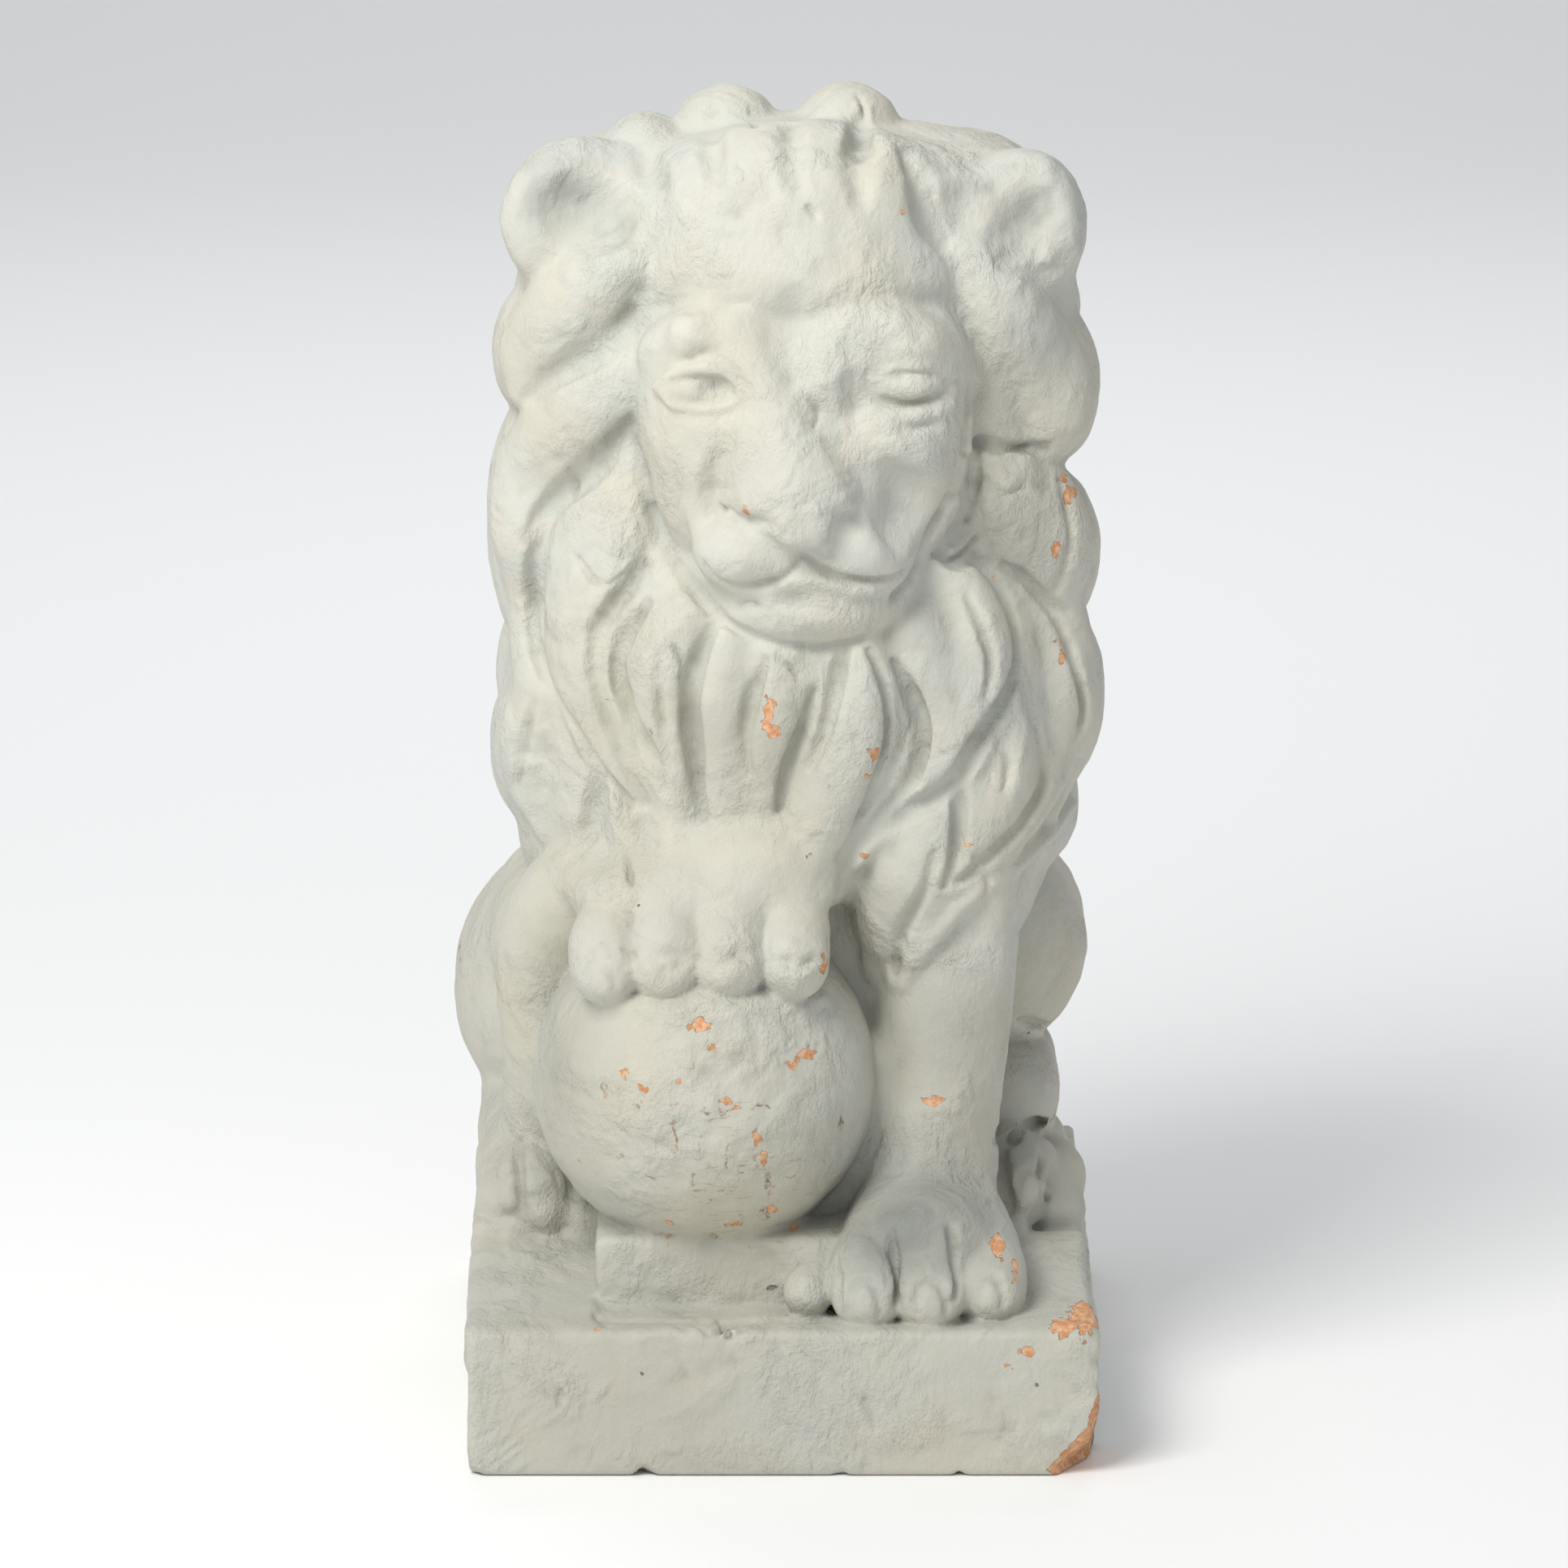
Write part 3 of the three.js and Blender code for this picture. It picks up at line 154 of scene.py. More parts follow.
def spans(path, x, y, z):
    """For every short span of a path: how far along it each point lies, and the offset from it."""
    for a, b in zip(path, path[1:]):
        way = b[:3] - a[:3]
        length2 = max(float(way @ way), 1e-9)
        px, py, pz = x - a[0], y - a[1], z - a[2]
        t = np.clip((px * way[0] + py * way[1] + pz * way[2]) / length2, 0, 1)
        yield a, b, t, (px - way[0] * t, py - way[1] * t, pz - way[2] * t)


def limb(rows):
    """A round form along rows of x, y, z and radius."""
    path = smooth_path(rows)
    path[:, 3] = np.maximum(path[:, 3], 0.5)

    def distance(x, y, z):
        best = FAR
        for a, b, t, (dx, dy, dz) in spans(path, x, y, z):
            radius = a[3] + (b[3] - a[3]) * t
            best = np.minimum(best, np.sqrt(dx * dx + dy * dy + dz * dz) - radius)
        return best

    radius = path[:, 3:4]
    return Form(distance, (path[:, :3] - radius).min(0), (path[:, :3] + radius).max(0))


def strand(rows, outward):
    """A flattened lock along rows of x, y, z, half width and thickness."""
    path = smooth_path(rows)
    path[:, 3:] = np.maximum(path[:, 3:], 0.6)
    out = smooth_path(outward)

    def distance(x, y, z):
        best = FAR
        for i, (a, b, t, offset) in enumerate(spans(path, x, y, z)):
            way = (b - a)[:3] / max(np.linalg.norm((b - a)[:3]), 1e-6)
            rise = out[i] + out[i + 1]
            rise = rise - way * (rise @ way)
            rise = rise / max(np.linalg.norm(rise), 1e-9)
            side = np.cross(way, rise)
            parts = [sum(o * axis[j] for j, o in enumerate(offset)) for axis in (side, rise, way)]
            wide = a[3] + (b[3] - a[3]) * t
            thick = a[4] + (b[4] - a[4]) * t
            best = np.minimum(best, egg_distance(parts[0], parts[1], parts[2], (wide, thick, wide)))
        return best

    reach = path[:, 3:4] + 2
    return Form(distance, (path[:, :3] - reach).min(0), (path[:, :3] + reach).max(0))


class Clay:
    """Distances to the surface on a regular grid, negative inside."""

    def __init__(self, low, high, cell):
        self.low = np.asarray(low, float)
        self.cell = cell
        self.axes = [np.arange(a, b + cell, cell, dtype=np.float32) for a, b in zip(low, high)]
        self.value = np.full([len(a) for a in self.axes], FAR, np.float32)

    def near(self, form, reach):
        low = np.floor((form.low - reach - self.low) / self.cell).astype(int)
        high = np.ceil((form.high + reach - self.low) / self.cell).astype(int) + 1
        return tuple(slice(max(a, 0), max(min(b, n), 0)) for a, b, n in zip(low, high, self.value.shape))

    def places(self, part):
        x, y, z = [axis[piece] for axis, piece in zip(self.axes, part)]
        return x[:, None, None], y[None, :, None], z[None, None, :]

    def add(self, form, blend):
        part = self.near(form, blend + 3 * self.cell)
        distance = form.distance(*self.places(part)).astype(np.float32)
        self.value[part] = join_softly(self.value[part], distance, blend)

    def cut(self, form, blend):
        part = self.near(form, blend + 3 * self.cell)
        distance = form.distance(*self.places(part)).astype(np.float32)
        self.value[part] = -join_softly(-self.value[part], distance, blend)

    def read(self, points, value=None):
        value = self.value if value is None else value
        grid = (np.asarray(points, float) - self.low) / self.cell
        at = np.clip(np.floor(grid).astype(int), 0, np.array(value.shape) - 2)
        t = np.clip(grid - at, 0, 1)
        total = 0
        for a in (0, 1):
            for b in (0, 1):
                for c in (0, 1):
                    share = np.prod(np.where([a, b, c], t, 1 - t), axis=1)
                    total = total + share * value[at[:, 0] + a, at[:, 1] + b, at[:, 2] + c]
        return total

    def meet(self, start, line, reach, value=None):
        """First place on the surface along a line, or else the place where it passes nearest."""
        far = np.arange(0, reach, self.cell * 0.5)
        found = self.read(start + far[:, None] * line, value)
        inside = np.flatnonzero(found < 0)
        if len(inside) == 0:
            return start + line * far[np.argmin(found)]
        i = max(inside[0], 1)
        t = found[i - 1] / (found[i - 1] - found[i])
        return start + line * (far[i - 1] + t * (far[i] - far[i - 1]))

    def outward(self, place, value=None):
        steps = np.eye(3) * 4.0
        slope = self.read(place + steps, value) - self.read(place - steps, value)
        return slope / max(np.linalg.norm(slope), 1e-9)

    def skin(self):
        """The closed surface as places and four-sided faces: one place in each cell it passes."""
        value = self.value
        inside = value < 0
        corners = [(a, b, c) for a in (0, 1) for b in (0, 1) for c in (0, 1)]
        nx, ny, nz = value.shape
        count = np.zeros((nx - 1, ny - 1, nz - 1), np.int8)
        for a, b, c in corners:
            count += inside[a:nx - 1 + a, b:ny - 1 + b, c:nz - 1 + c]
        passed = (count > 0) & (count < 8)
        cells = np.argwhere(passed)
        number = np.full(passed.shape, -1, np.int64)
        number[passed] = np.arange(len(cells))
        at_corner = {q: value[cells[:, 0] + q[0], cells[:, 1] + q[1], cells[:, 2] + q[2]] for q in corners}
        total = np.zeros((len(cells), 3))
        crossings = np.zeros(len(cells))
        for q in corners:
            for axis in range(3):
                if q[axis]:
                    continue
                far_end = tuple(1 if i == axis else q[i] for i in range(3))
                a, b = at_corner[q], at_corner[far_end]
                crosses = (a < 0) != (b < 0)
                point = np.repeat(np.array(q, float)[None], len(cells), 0)
                point[:, axis] = np.where(crosses, a / np.where(crosses, a - b, 1), 0)
                total += np.where(crosses[:, None], point, 0)
                crossings += crosses
        places = self.low + (total / crossings[:, None] + cells) * self.cell
        faces = []
        for axis in range(3):
            first, second = [(1, 2), (2, 0), (0, 1)][axis]
            lower, upper = [slice(1, -1)] * 3, [slice(1, -1)] * 3
            lower[axis], upper[axis] = slice(0, -1), slice(1, None)
            a, b = inside[tuple(lower)], inside[tuple(upper)]
            edges = np.argwhere(a != b)
            leaves = a[a != b]
            edges[:, [i for i in range(3) if i != axis]] += 1
            ring = []
            for da, db in ((1, 1), (0, 1), (0, 0), (1, 0)):
                cell = edges.copy()
                cell[:, first] -= da
                cell[:, second] -= db
                ring.append(number[cell[:, 0], cell[:, 1], cell[:, 2]])
            ring = np.stack(ring, 1)
            ring[~leaves] = ring[~leaves][:, ::-1]
            faces.append(ring)
        return places, np.vstack(faces)


class Hand:
    """Lays forms on the clay where they are seen from the front."""

    def __init__(self, clay):
        self.clay = clay
        self.look()

    def look(self):
        self.seen = self.clay.value.copy()

    def touch(self, x, h):
        line = sight_line(x, h)
        start = EYE + line * (LOOK_DISTANCE - 420)
        at = self.clay.meet(start, line, 700, self.seen)
        return at, self.clay.outward(at, self.seen)

    def lay(self, rows, lift):
        """Rows of x, h and half width become rows in space, moved out by lift(half, fade)."""
        broad = max(row[2] for row in rows)
        laid, outward = [], []
        for x, h, half in rows:
            at, out = self.touch(x, h)
            laid.append([*(at + out * lift(half, half / broad)), half])
            outward.append(out)
        return laid, outward

    def lock(self, rows, rise, blend):
        sunk = 6
        broad = max(row[2] for row in rows)
        laid, outward = self.lay(rows, lambda half, fade: -sunk)
        rows = [[*row, rise * row[3] / broad + sunk] for row in laid]
        self.clay.add(strand(rows, outward), blend)

    def ridge(self, rows, rise, blend):
        self.clay.add(limb(self.lay(rows, lambda half, fade: rise * fade - half)[0]), blend)

    def groove(self, rows, deep, blend):
        self.clay.cut(limb(self.lay(rows, lambda half, fade: half - deep * fade)[0]), blend)

    def lump(self, x, h, radii, rise, blend):
        at, out = self.touch(x, h)
        self.clay.add(egg(at + out * (rise - radii[1]), radii, [0, 0, 0]), blend)

    def dent(self, x, h, radii, deep, blend):
        at, out = self.touch(x, h)
        self.clay.cut(egg(at + out * (radii[1] - deep), radii, [0, 0, 0]), blend)


def laid(clay, places, rise):
    """A plain lock laid on the side or back of the mane: turn (0 left side, 90 back), height and half width."""
    rows, outward = [], []
    broad = max(half for turn_by, z, half in places)
    for turn_by, z, half in places:
        a = math.radians(turn_by)
        away = np.array([-math.cos(a), math.sin(a), 0.0])
        at = clay.meet(np.array([6.0, -5.0, z]) + away * 240, -away, 235)
        out = clay.outward(at)
        rows.append([*(at - out * 6), half, 6 + rise * half / broad])
        outward.append(out)
    clay.add(strand(rows, outward), 4)


def body_masses(clay):
    # back and belly, from the rump up to the neck
    clay.add(limb([[0, 118, 175, 78], [0, 95, 260, 96], [2, 45, 350, 104], [4, 0, 440, 100]]), 10)
    # the clay left standing between the legs
    clay.add(slab([8, -5, 178], [98, 80, 122], [0, 0, 0], 30), 10)
    clay.add(slab([34, -90, 146], [24, 22, 60], [0, 0, 0], 12), 8)
    # block of the mane
    clay.add(slab([6, -8, 480], [138, 86, 168], [0, 0, 0], 66), 20)
    clay.add(slab([8, -10, 580], [136, 78, 78], [0, 0, 0], 50), 20)
    clay.add(egg([8, -10, 625], [104, 66, 46], [0, 0, 0]), 15)
    # chest hair, longest over the standing leg
    clay.add(egg([4, -62, 398], [124, 74, 96], [0, 0, 0]), 20)
    clay.add(limb([[74, -54, 400, 62], [86, -68, 345, 52], [78, -78, 305, 42], [62, -88, 276, 28], [54, -96, 258, 13]]), 14)
    clay.add(limb([[20, -70, 380, 62], [14, -88, 325, 44], [10, -100, 300, 30]]), 14)
    clay.add(limb([[-62, -50, 390, 60], [-66, -66, 330, 46], [-40, -84, 300, 38]]), 14)
    # shoulders
    for side in [-1, 1]:
        clay.add(egg([side * 84 + 2, -20, 320], [58, 72, 100], [0, 0, 0]), 20)
        clay.add(egg([side * 82, 20, 360], [62, 80, 90], [0, 0, 0]), 20)


def hind_legs(clay):
    # haunches
    clay.add(egg([-108, 82, 188], [68, 100, 78], [0, 0, 0]), 24)
    clay.add(egg([92, 112, 196], [54, 86, 80], [0, 0, 0]), 24)
    # leg beside the ball: knee, shin and foot
    clay.add(limb([[-112, 60, 230, 46], [-112, 0, 230, 40], [-104, -40, 226, 35], [-116, -52, 196, 28], [-122, -36, 140, 26]]), 6)
    clay.add(limb([[-134, 60, 128, 28], [-134, 0, 124, 27], [-131, -62, 114, 24]]), 8)
    # leg beside the standing foreleg: knee, hock and foot
    clay.add(limb([[101, 80, 219, 60], [101, 44, 219, 60]]), 6)
    clay.add(limb([[110, 60, 150, 36], [117, 14, 147, 29], [117, -6, 142, 27]]), 3)
    clay.add(limb([[126, 40, 107, 26], [126, -10, 106, 25], [126, -34, 104, 22]]), 4)


def tail(clay):
    # tail lying along the back of the haunch, with a tuft at its end
    clay.add(limb([[6, 190, 176, 16], [20, 198, 140, 14], [58, 186, 112, 13], [96, 172, 108, 13], [120, 142, 108, 13], [124, 112, 110, 13]]), 6)
    clay.add(limb([[124, 122, 110, 14], [125, 98, 112, 18], [127, 76, 112, 14], [130, 62, 110, 6]]), 4)


def forelegs(clay):
    # standing foreleg and its foot
    clay.add(limb([[84, -40, 380, 50], [85, -62, 300, 40], [84, -84, 225, 34], [76, -94, 160, 32], [75, -104, 126, 35], [74, -120, 106, 36]]), 12)
    clay.add(slab([84, -78, 225], [31, 33, 100], [4, 3, 0], 16), 8)
    # raised foreleg: elbow low behind the ball, forearm up to the paw
    clay.add(limb([[-50, -108, 288, 30], [-84, -84, 285, 31], [-112, -66, 262, 31], [-121, -58, 226, 28], [-118, -56, 184, 25], [-108, -58, 150, 20]]), 4)
    clay.add(limb([[-84, -40, 380, 50], [-66, -62, 330, 42], [-34, -92, 300, 34], [-26, -110, 285, 34]]), 12)
    clay.add(egg([-42, -124, 268], [58, 34, 28], [30, 0, 0]), 8)
    # ball
    clay.add(egg([-40.6, -105, 185], [BALL_RADIUS, BALL_RADIUS, BALL_RADIUS], [0, 0, 0]), 2)


def outer_tufts(clay):
    # tufts that make the scalloped outline of the mane: across, up, depth, then their half sizes
    for x, h, y, wide, deep, tall in [
            [-128, 227, -26, 24, 44, 36], [-127, 138, -22, 28, 46, 70], [-130, 22, -22, 24, 46, 41],
            [138, 210, -28, 27, 46, 42], [137, 123, -28, 28, 44, 44], [142, 49, -26, 26, 46, 48],
            [132, -8, -6, 22, 40, 34]]:
        clay.add(egg(front(x, h, y), [wide, deep, tall], [0, 0, 0]), 6)


def crown(clay, hand):
    # fringe standing forward over the brow, and curls behind it on top of the head
    clay.add(egg(front(8, 300, -70), [82, 52, 46], [0, 0, 0]), 18)
    for x, h, y, wide, tall in [
            [-30, 339, -4, 28, 26], [33, 340, -4, 28, 27], [-72, 329, -14, 24, 22], [71, 326, -10, 22, 18],
            [-100, 316, -34, 24, 18], [98, 316, -24, 22, 16]]:
        clay.add(egg(front(x, h, y), [wide, 34, tall], [0, 0, 0]), 4)
    hand.look()
    hand.groove([[-38, 352, 4], [-38, 338, 7], [-36, 318, 4]], 5, 6)
    hand.groove([[3, 346, 4], [4, 333, 7], [5, 314, 3]], 5, 6)
    hand.groove([[40, 346, 4], [39, 328, 8], [40, 306, 4]], 6, 6)
    hand.groove([[66, 328, 5], [75, 310, 10], [80, 290, 11], [89, 268, 9], [98, 244, 6]], 11, 7)
    hand.groove([[-72, 330, 5], [-66, 304, 9], [-70, 278, 9], [-76, 250, 8], [-80, 225, 5]], 5, 8)


def mane_locks(hand):
    # left side: tufts behind, then the front layer
    hand.lock([[-134, 87, 16], [-132, 49, 19], [-133, 20, 19], [-132, -6, 15], [-128, -24, 7]], 8, 4)
    hand.lock([[-74, 223, 14], [-104, 198, 22], [-130, 166, 25], [-137, 130, 20], [-134, 96, 12]], 11, 5)
    hand.lock([[-82, 272, 14], [-111, 256, 20], [-130, 232, 22], [-134, 206, 14]], 11, 4)
    hand.lock([[-62, 165, 18], [-94, 134, 28], [-108, 87, 26], [-104, 49, 22], [-91, 15, 16], [-77, -12, 7]], 11, 4)
    # right side, top to bottom
    hand.lock([[93, 272, 14], [116, 248, 21], [137, 221, 24], [141, 194, 22], [134, 172, 12]], 12, 4)
    hand.lock([[112, 170, 16], [128, 148, 30], [134, 122, 28], [144, 98, 14]], 15, 3)
    hand.lock([[146, 96, 13], [157, 62, 14], [157, 32, 14], [146, 3, 13], [138, -19, 8]], 6, 4)
    hand.lock([[123, 115, 11], [140, 83, 18], [145, 49, 19], [142, 15, 17], [126, -16, 15], [97, -51, 8]], 11, 4)
    hand.lock([[119, 45, 9], [119, 15, 16], [112, -14, 17], [93, -44, 12]], 9, 5)
    hand.lock([[85, 113, 14], [101, 87, 18], [103, 54, 20], [87, 17, 22], [61, -8, 19], [36, -36, 12]], 13, 4)
    # tips over the standing leg
    hand.lock([[91, 8, 14], [74, -22, 25], [58, -55, 22], [47, -97, 9]], 10, 6)
    hand.lock([[104, -8, 14], [92, -36, 19], [73, -72, 14], [57, -103, 6]], 7, 6)
    # strand along the lower edge of the mane
    hand.lock([[150, -10, 5], [143, -18, 6], [129, -34, 7], [101, -55, 7], [78, -79, 7], [62, -105, 5]], 6, 3)
    # beard, right to left
    hand.lock([[70, 78, 14], [85, 45, 20], [84, 20, 19], [62, -6, 16], [34, -29, 10]], 9, 6)
    hand.lock([[36, 78, 14], [42, 49, 17], [37, 15, 20], [22, -14, 18], [14, -44, 8]], 11, 6)
    hand.lock([[-3, 78, 14], [-4, 45, 16], [-9, 11, 16], [-12, -24, 10]], 8, 6)
    hand.lock([[-28, 80, 12], [-33, 45, 16], [-31, 11, 16], [-28, -24, 12]], 8, 6)
    hand.lock([[-54, 90, 14], [-65, 58, 17], [-62, 20, 15], [-57, -19, 11], [-54, -44, 6]], 8, 6)
    # strands hanging onto the raised paw
    hand.lock([[-88, 0, 7], [-85, -24, 8], [-80, -46, 5]], 5, 4)
    hand.lock([[-63, -4, 6], [-60, -24, 7], [-58, -42, 4]], 4, 4)
    hand.look()
    # the combed lines between the strands, left to right
    for deep, line in [
            [5, [[-73, 115, 4], [-88, 95, 5], [-98, 75, 5], [-97, 49, 4], [-85, 15, 3], [-73, -10, 2]]],
            [6, [[-72, 94, 3], [-83, 77, 4], [-87, 58, 5], [-80, 37, 4], [-70, 15, 4], [-63, -4, 2]]],
            [3, [[-65, 70, 1.5], [-67, 54, 2.5], [-64, 32, 2.5], [-60, 7, 1.5]]],
            [8, [[-36, 85, 3], [-44, 68, 5], [-49, 47, 6], [-48, 24, 6], [-45, 3, 5], [-42, -19, 3]]],
            [5, [[-10, 64, 2], [-17, 45, 4], [-20, 26, 3], [-19, 7, 2]]],
            [6, [[16, 49, 2], [11, 30, 3.5], [3, 9, 4], [-2, -14, 3]]],
            [6, [[32, 77, 3], [27, 54, 4.5], [22, 30, 4], [14, 9, 2]]],
            [5, [[45, 70, 2], [54, 49, 3], [56, 26, 3], [49, 3, 3], [40, -19, 2.5], [27, -40, 2]]],
            [7, [[58, 64, 2], [67, 45, 4.5], [71, 24, 5], [66, 3, 4.5], [51, -17, 4], [36, -34, 4], [26, -53, 3]]],
            [8, [[103, 117, 3], [115, 96, 5], [121, 70, 5], [118, 47, 6], [104, 22, 7], [89, 0, 6], [65, -15, 5], [41, -32, 4], [27, -54, 3]]],
            [4, [[96, 98, 1.5], [105, 79, 3], [109, 62, 2.5], [106, 45, 1.5]]],
            [4, [[112, 26, 1.5], [118, 11, 2.5], [115, -4, 1.5]]],
            [5, [[132, 30, 2], [137, 6, 3], [128, -16, 4], [106, -40, 4], [92, -52, 3]]],
            [7, [[94, 10, 2], [92, -14, 4.5], [90, -36, 4], [84, -54, 2]]],
            [5, [[79, -36, 2], [74, -55, 3], [62, -76, 4], [56, -97, 3]]],
            [4, [[123, 111, 2], [144, 85, 3], [154, 60, 3], [157, 32, 2.5], [147, 5, 1.5]]],
            [3, [[144, 160, 1.5], [150, 138, 2.5], [147, 113, 2], [140, 98, 1.5]]],
            [6, [[100, 120, 4], [90, 118, 6], [80, 122, 4]]],
            [6, [[97, 179, 3], [112, 178, 4], [128, 176, 3], [138, 175, 1.5]]],
            [5, [[99, 117, 2], [121, 111, 3], [140, 95, 3], [149, 90, 1.5]]],
            [5, [[-124, 138, 2], [-131, 117, 4], [-132, 87, 4], [-127, 62, 4], [-113, 34, 4], [-98, 9, 4], [-81, -12, 3]]],
            [6, [[-80, 248, 5], [-93, 230, 9], [-117, 214, 7], [-136, 201, 3]]],
            [5, [[-80, 190, 4], [-98, 166, 8], [-121, 147, 7], [-134, 128, 4]]],
            [3, [[-131, 43, 1.5], [-136, 20, 3], [-140, -4, 1.5]]],
            [6, [[-101, 11, 3], [-98, -8, 8], [-104, -31, 7], [-111, -48, 4]]]]:
        hand.groove(line, deep, 3)


def back_locks(clay):
    # rows of plain tufts down the back of the mane
    for row in range(5):
        for i in range(5):
            turn = 46 + (i + 0.5 * (row % 2)) * 20
            z = 610 - 62 * row
            laid(clay, [[turn, z + 16, 5], [turn + 2, z - 4, 17], [turn + 3, z - 26, 20], [turn + 1, z - 54, 16],
                        [turn - 3, z - 86, 3]], 9)
    # longer ones sweeping back along both sides
    for side in [-1, 1]:
        for row in range(5):
            z = 616 - 56 * row
            laid(clay, [[90 + side * 70, z + 12, 4], [90 + side * 64, z - 2, 15], [90 + side * 57, z - 20, 20],
                        [90 + side * 49, z - 46, 18], [90 + side * 43, z - 72, 11], [90 + side * 42, z - 94, 3]], 8)
            laid(clay, [[90 + side * 90, z + 30, 3], [90 + side * 84, z + 17, 12], [90 + side * 77, z, 20],
                        [90 + side * 70, z - 25, 19], [90 + side * 65, z - 51, 12], [90 + side * 62, z - 74, 3]], 5)
    # tails of the longest ones over the shoulders
    for side in [-1, 1]:
        laid(clay, [[90 + side * 82, 398, 4], [90 + side * 79, 372, 14], [90 + side * 77, 344, 17],
                    [90 + side * 75, 316, 12], [90 + side * 73, 290, 3]], 5)
        laid(clay, [[90 + side * 66, 368, 4], [90 + side * 62, 350, 13], [90 + side * 58, 322, 16],
                    [90 + side * 55, 292, 11], [90 + side * 54, 268, 3]], 6)



def paws(clay):
    # raised paw: four toes side by side over the ball, wide enough to leave narrow grooves between them
    for x, low, r in [[-90, 3, 19], [-60, 0, 21], [-28, 0, 21], [5, 2, 18.5]]:
        clay.add(limb([[x * 0.9 - 4, -100, 279 - low, r * 0.85], [x * 0.98, -134, 276 - low, r * 0.95],
                       [x, -149, 268 - low, r * 1.02], [x, -156, 259 - low, r * 0.96]]), 2)
    # back of the paw
    clay.add(egg(front(-14, -42, -116), [42, 34, 28], [0, 0, 0]), 6)
    clay.add(egg(front(-64, -54, -104), [50, 36, 24], [0, 0, 0]), 8)
    clay.add(egg(front(-42, -57, -130), [66, 25, 18], [0, 0, 0]), 8)
    # standing paw: toes spread from the ankle to the front of the plinth
    clay.add(egg([74, -122, 103], [46, 62, 33], [-16, 0, 0]), 6)
    for x, y, r in [[43, -178, 19], [74.5, -179, 19.5], [105, -169, 19]]:
        clay.add(limb([[x * 0.5 + 37, y + 66, 128, r * 0.85], [x * 0.8 + 15, y + 38, 112, r * 0.95],
                       [x, y + 12, 99, r * 1.03], [x, y, 91, r]]), 3)
    clay.add(limb([[32, -120, 104, 12], [22, -148, 95, 13.5], [13, -168, 89, 13]]), 4)
    # toes of the hind paws
    for x, y, z, r in [[-146, -44, 124, 15], [-124, -52, 120, 15], [-104, -52, 116, 12],
                       [106, -34, 118, 14], [122, -40, 124, 18], [143, -26, 112, 16]]:
        clay.add(limb([[x * 0.97, y + 24, z, r * 0.9], [x, y, z, r], [x, y - 16, z - 9, r * 0.9], [x, y - 22, z - 14, r * 0.95]]), 3)



def nails(hand):
    # claws, oval plates in the ends of the toes
    for x, h, wide, tall in [[42, -273, 8, 12], [77, -273, 8, 12], [107, -268, 7, 10], [129, -215, 7, 12]]:
        hand.groove([[x - wide, h - 6, 1.5], [x - wide, h + 3, 2.5], [x - wide * 0.5, h + tall, 3], [x + wide * 0.5, h + tall, 3],
                     [x + wide, h + 3, 2.5], [x + wide, h - 6, 1.5]], 2.6, 1.5)
    # knuckle creases of the raised toes
    for x, h in [[-90, -87], [-59, -89], [-27, -88], [6, -92]]:
        hand.groove([[x - 12, h - 2, 1.5], [x, h, 3], [x + 12, h - 1, 1.5]], 1.6, 3)
    # creases round the hind legs and paws
    for deep, line in [
            [5, [[124, -124, 2], [131, -126, 3], [140, -127, 3]]],
            [6, [[112, -183, 3], [119, -185, 4], [130, -178, 4], [143, -171, 2]]],
            [5, [[113, -186, 3], [114, -205, 4], [119, -224, 3]]],
            [6, [[133, -180, 2], [136, -200, 3.5], [137, -225, 3]]],
            [4, [[-139, -186, 2], [-139, -203, 3], [-137, -222, 2]]],
            [4, [[56, -234, 2], [58, -250, 3.5], [58.5, -272, 2]]],
            [4, [[87, -232, 2], [90, -250, 3.5], [90, -270, 2]]],
            [3, [[27, -250, 2], [28, -262, 3], [29, -276, 2]]]]:
        hand.groove(line, deep, 3)
    # crease under the block of the ball
    hand.groove([[-96, -280, 2], [-60, -281, 4], [0, -281, 4], [24, -280, 2]], 5, 2)



def ears(clay, hand):
    # cupped ears, rims towards the outside
    clay.add(egg(front(-106, 297, -46), [40, 28, 41], [0, 0, 0]), 8)
    clay.add(egg(front(-112, 296, -58), [36, 20, 36], [0, 0, 12]), 6)
    clay.add(egg(front(-98, 290, -16), [38, 40, 40], [0, 0, 0]), 10)
    clay.add(egg(front(124, 292, -46), [34, 28, 40], [0, 0, 0]), 6)
    clay.add(egg(front(126, 293, -58), [30, 20, 37], [0, 0, -10]), 6)
    clay.add(egg(front(114, 290, -16), [36, 38, 37], [0, 0, 0]), 10)
    hand.look()
    hand.dent(-104, 298, [34, 26, 22], 11, 9)
    hand.dent(-114, 296, [17, 16, 16], 6, 6)
    hand.dent(128, 294, [23, 22, 27], 8, 6)
    hand.dent(92, 300, [16, 20, 17], 8, 7)


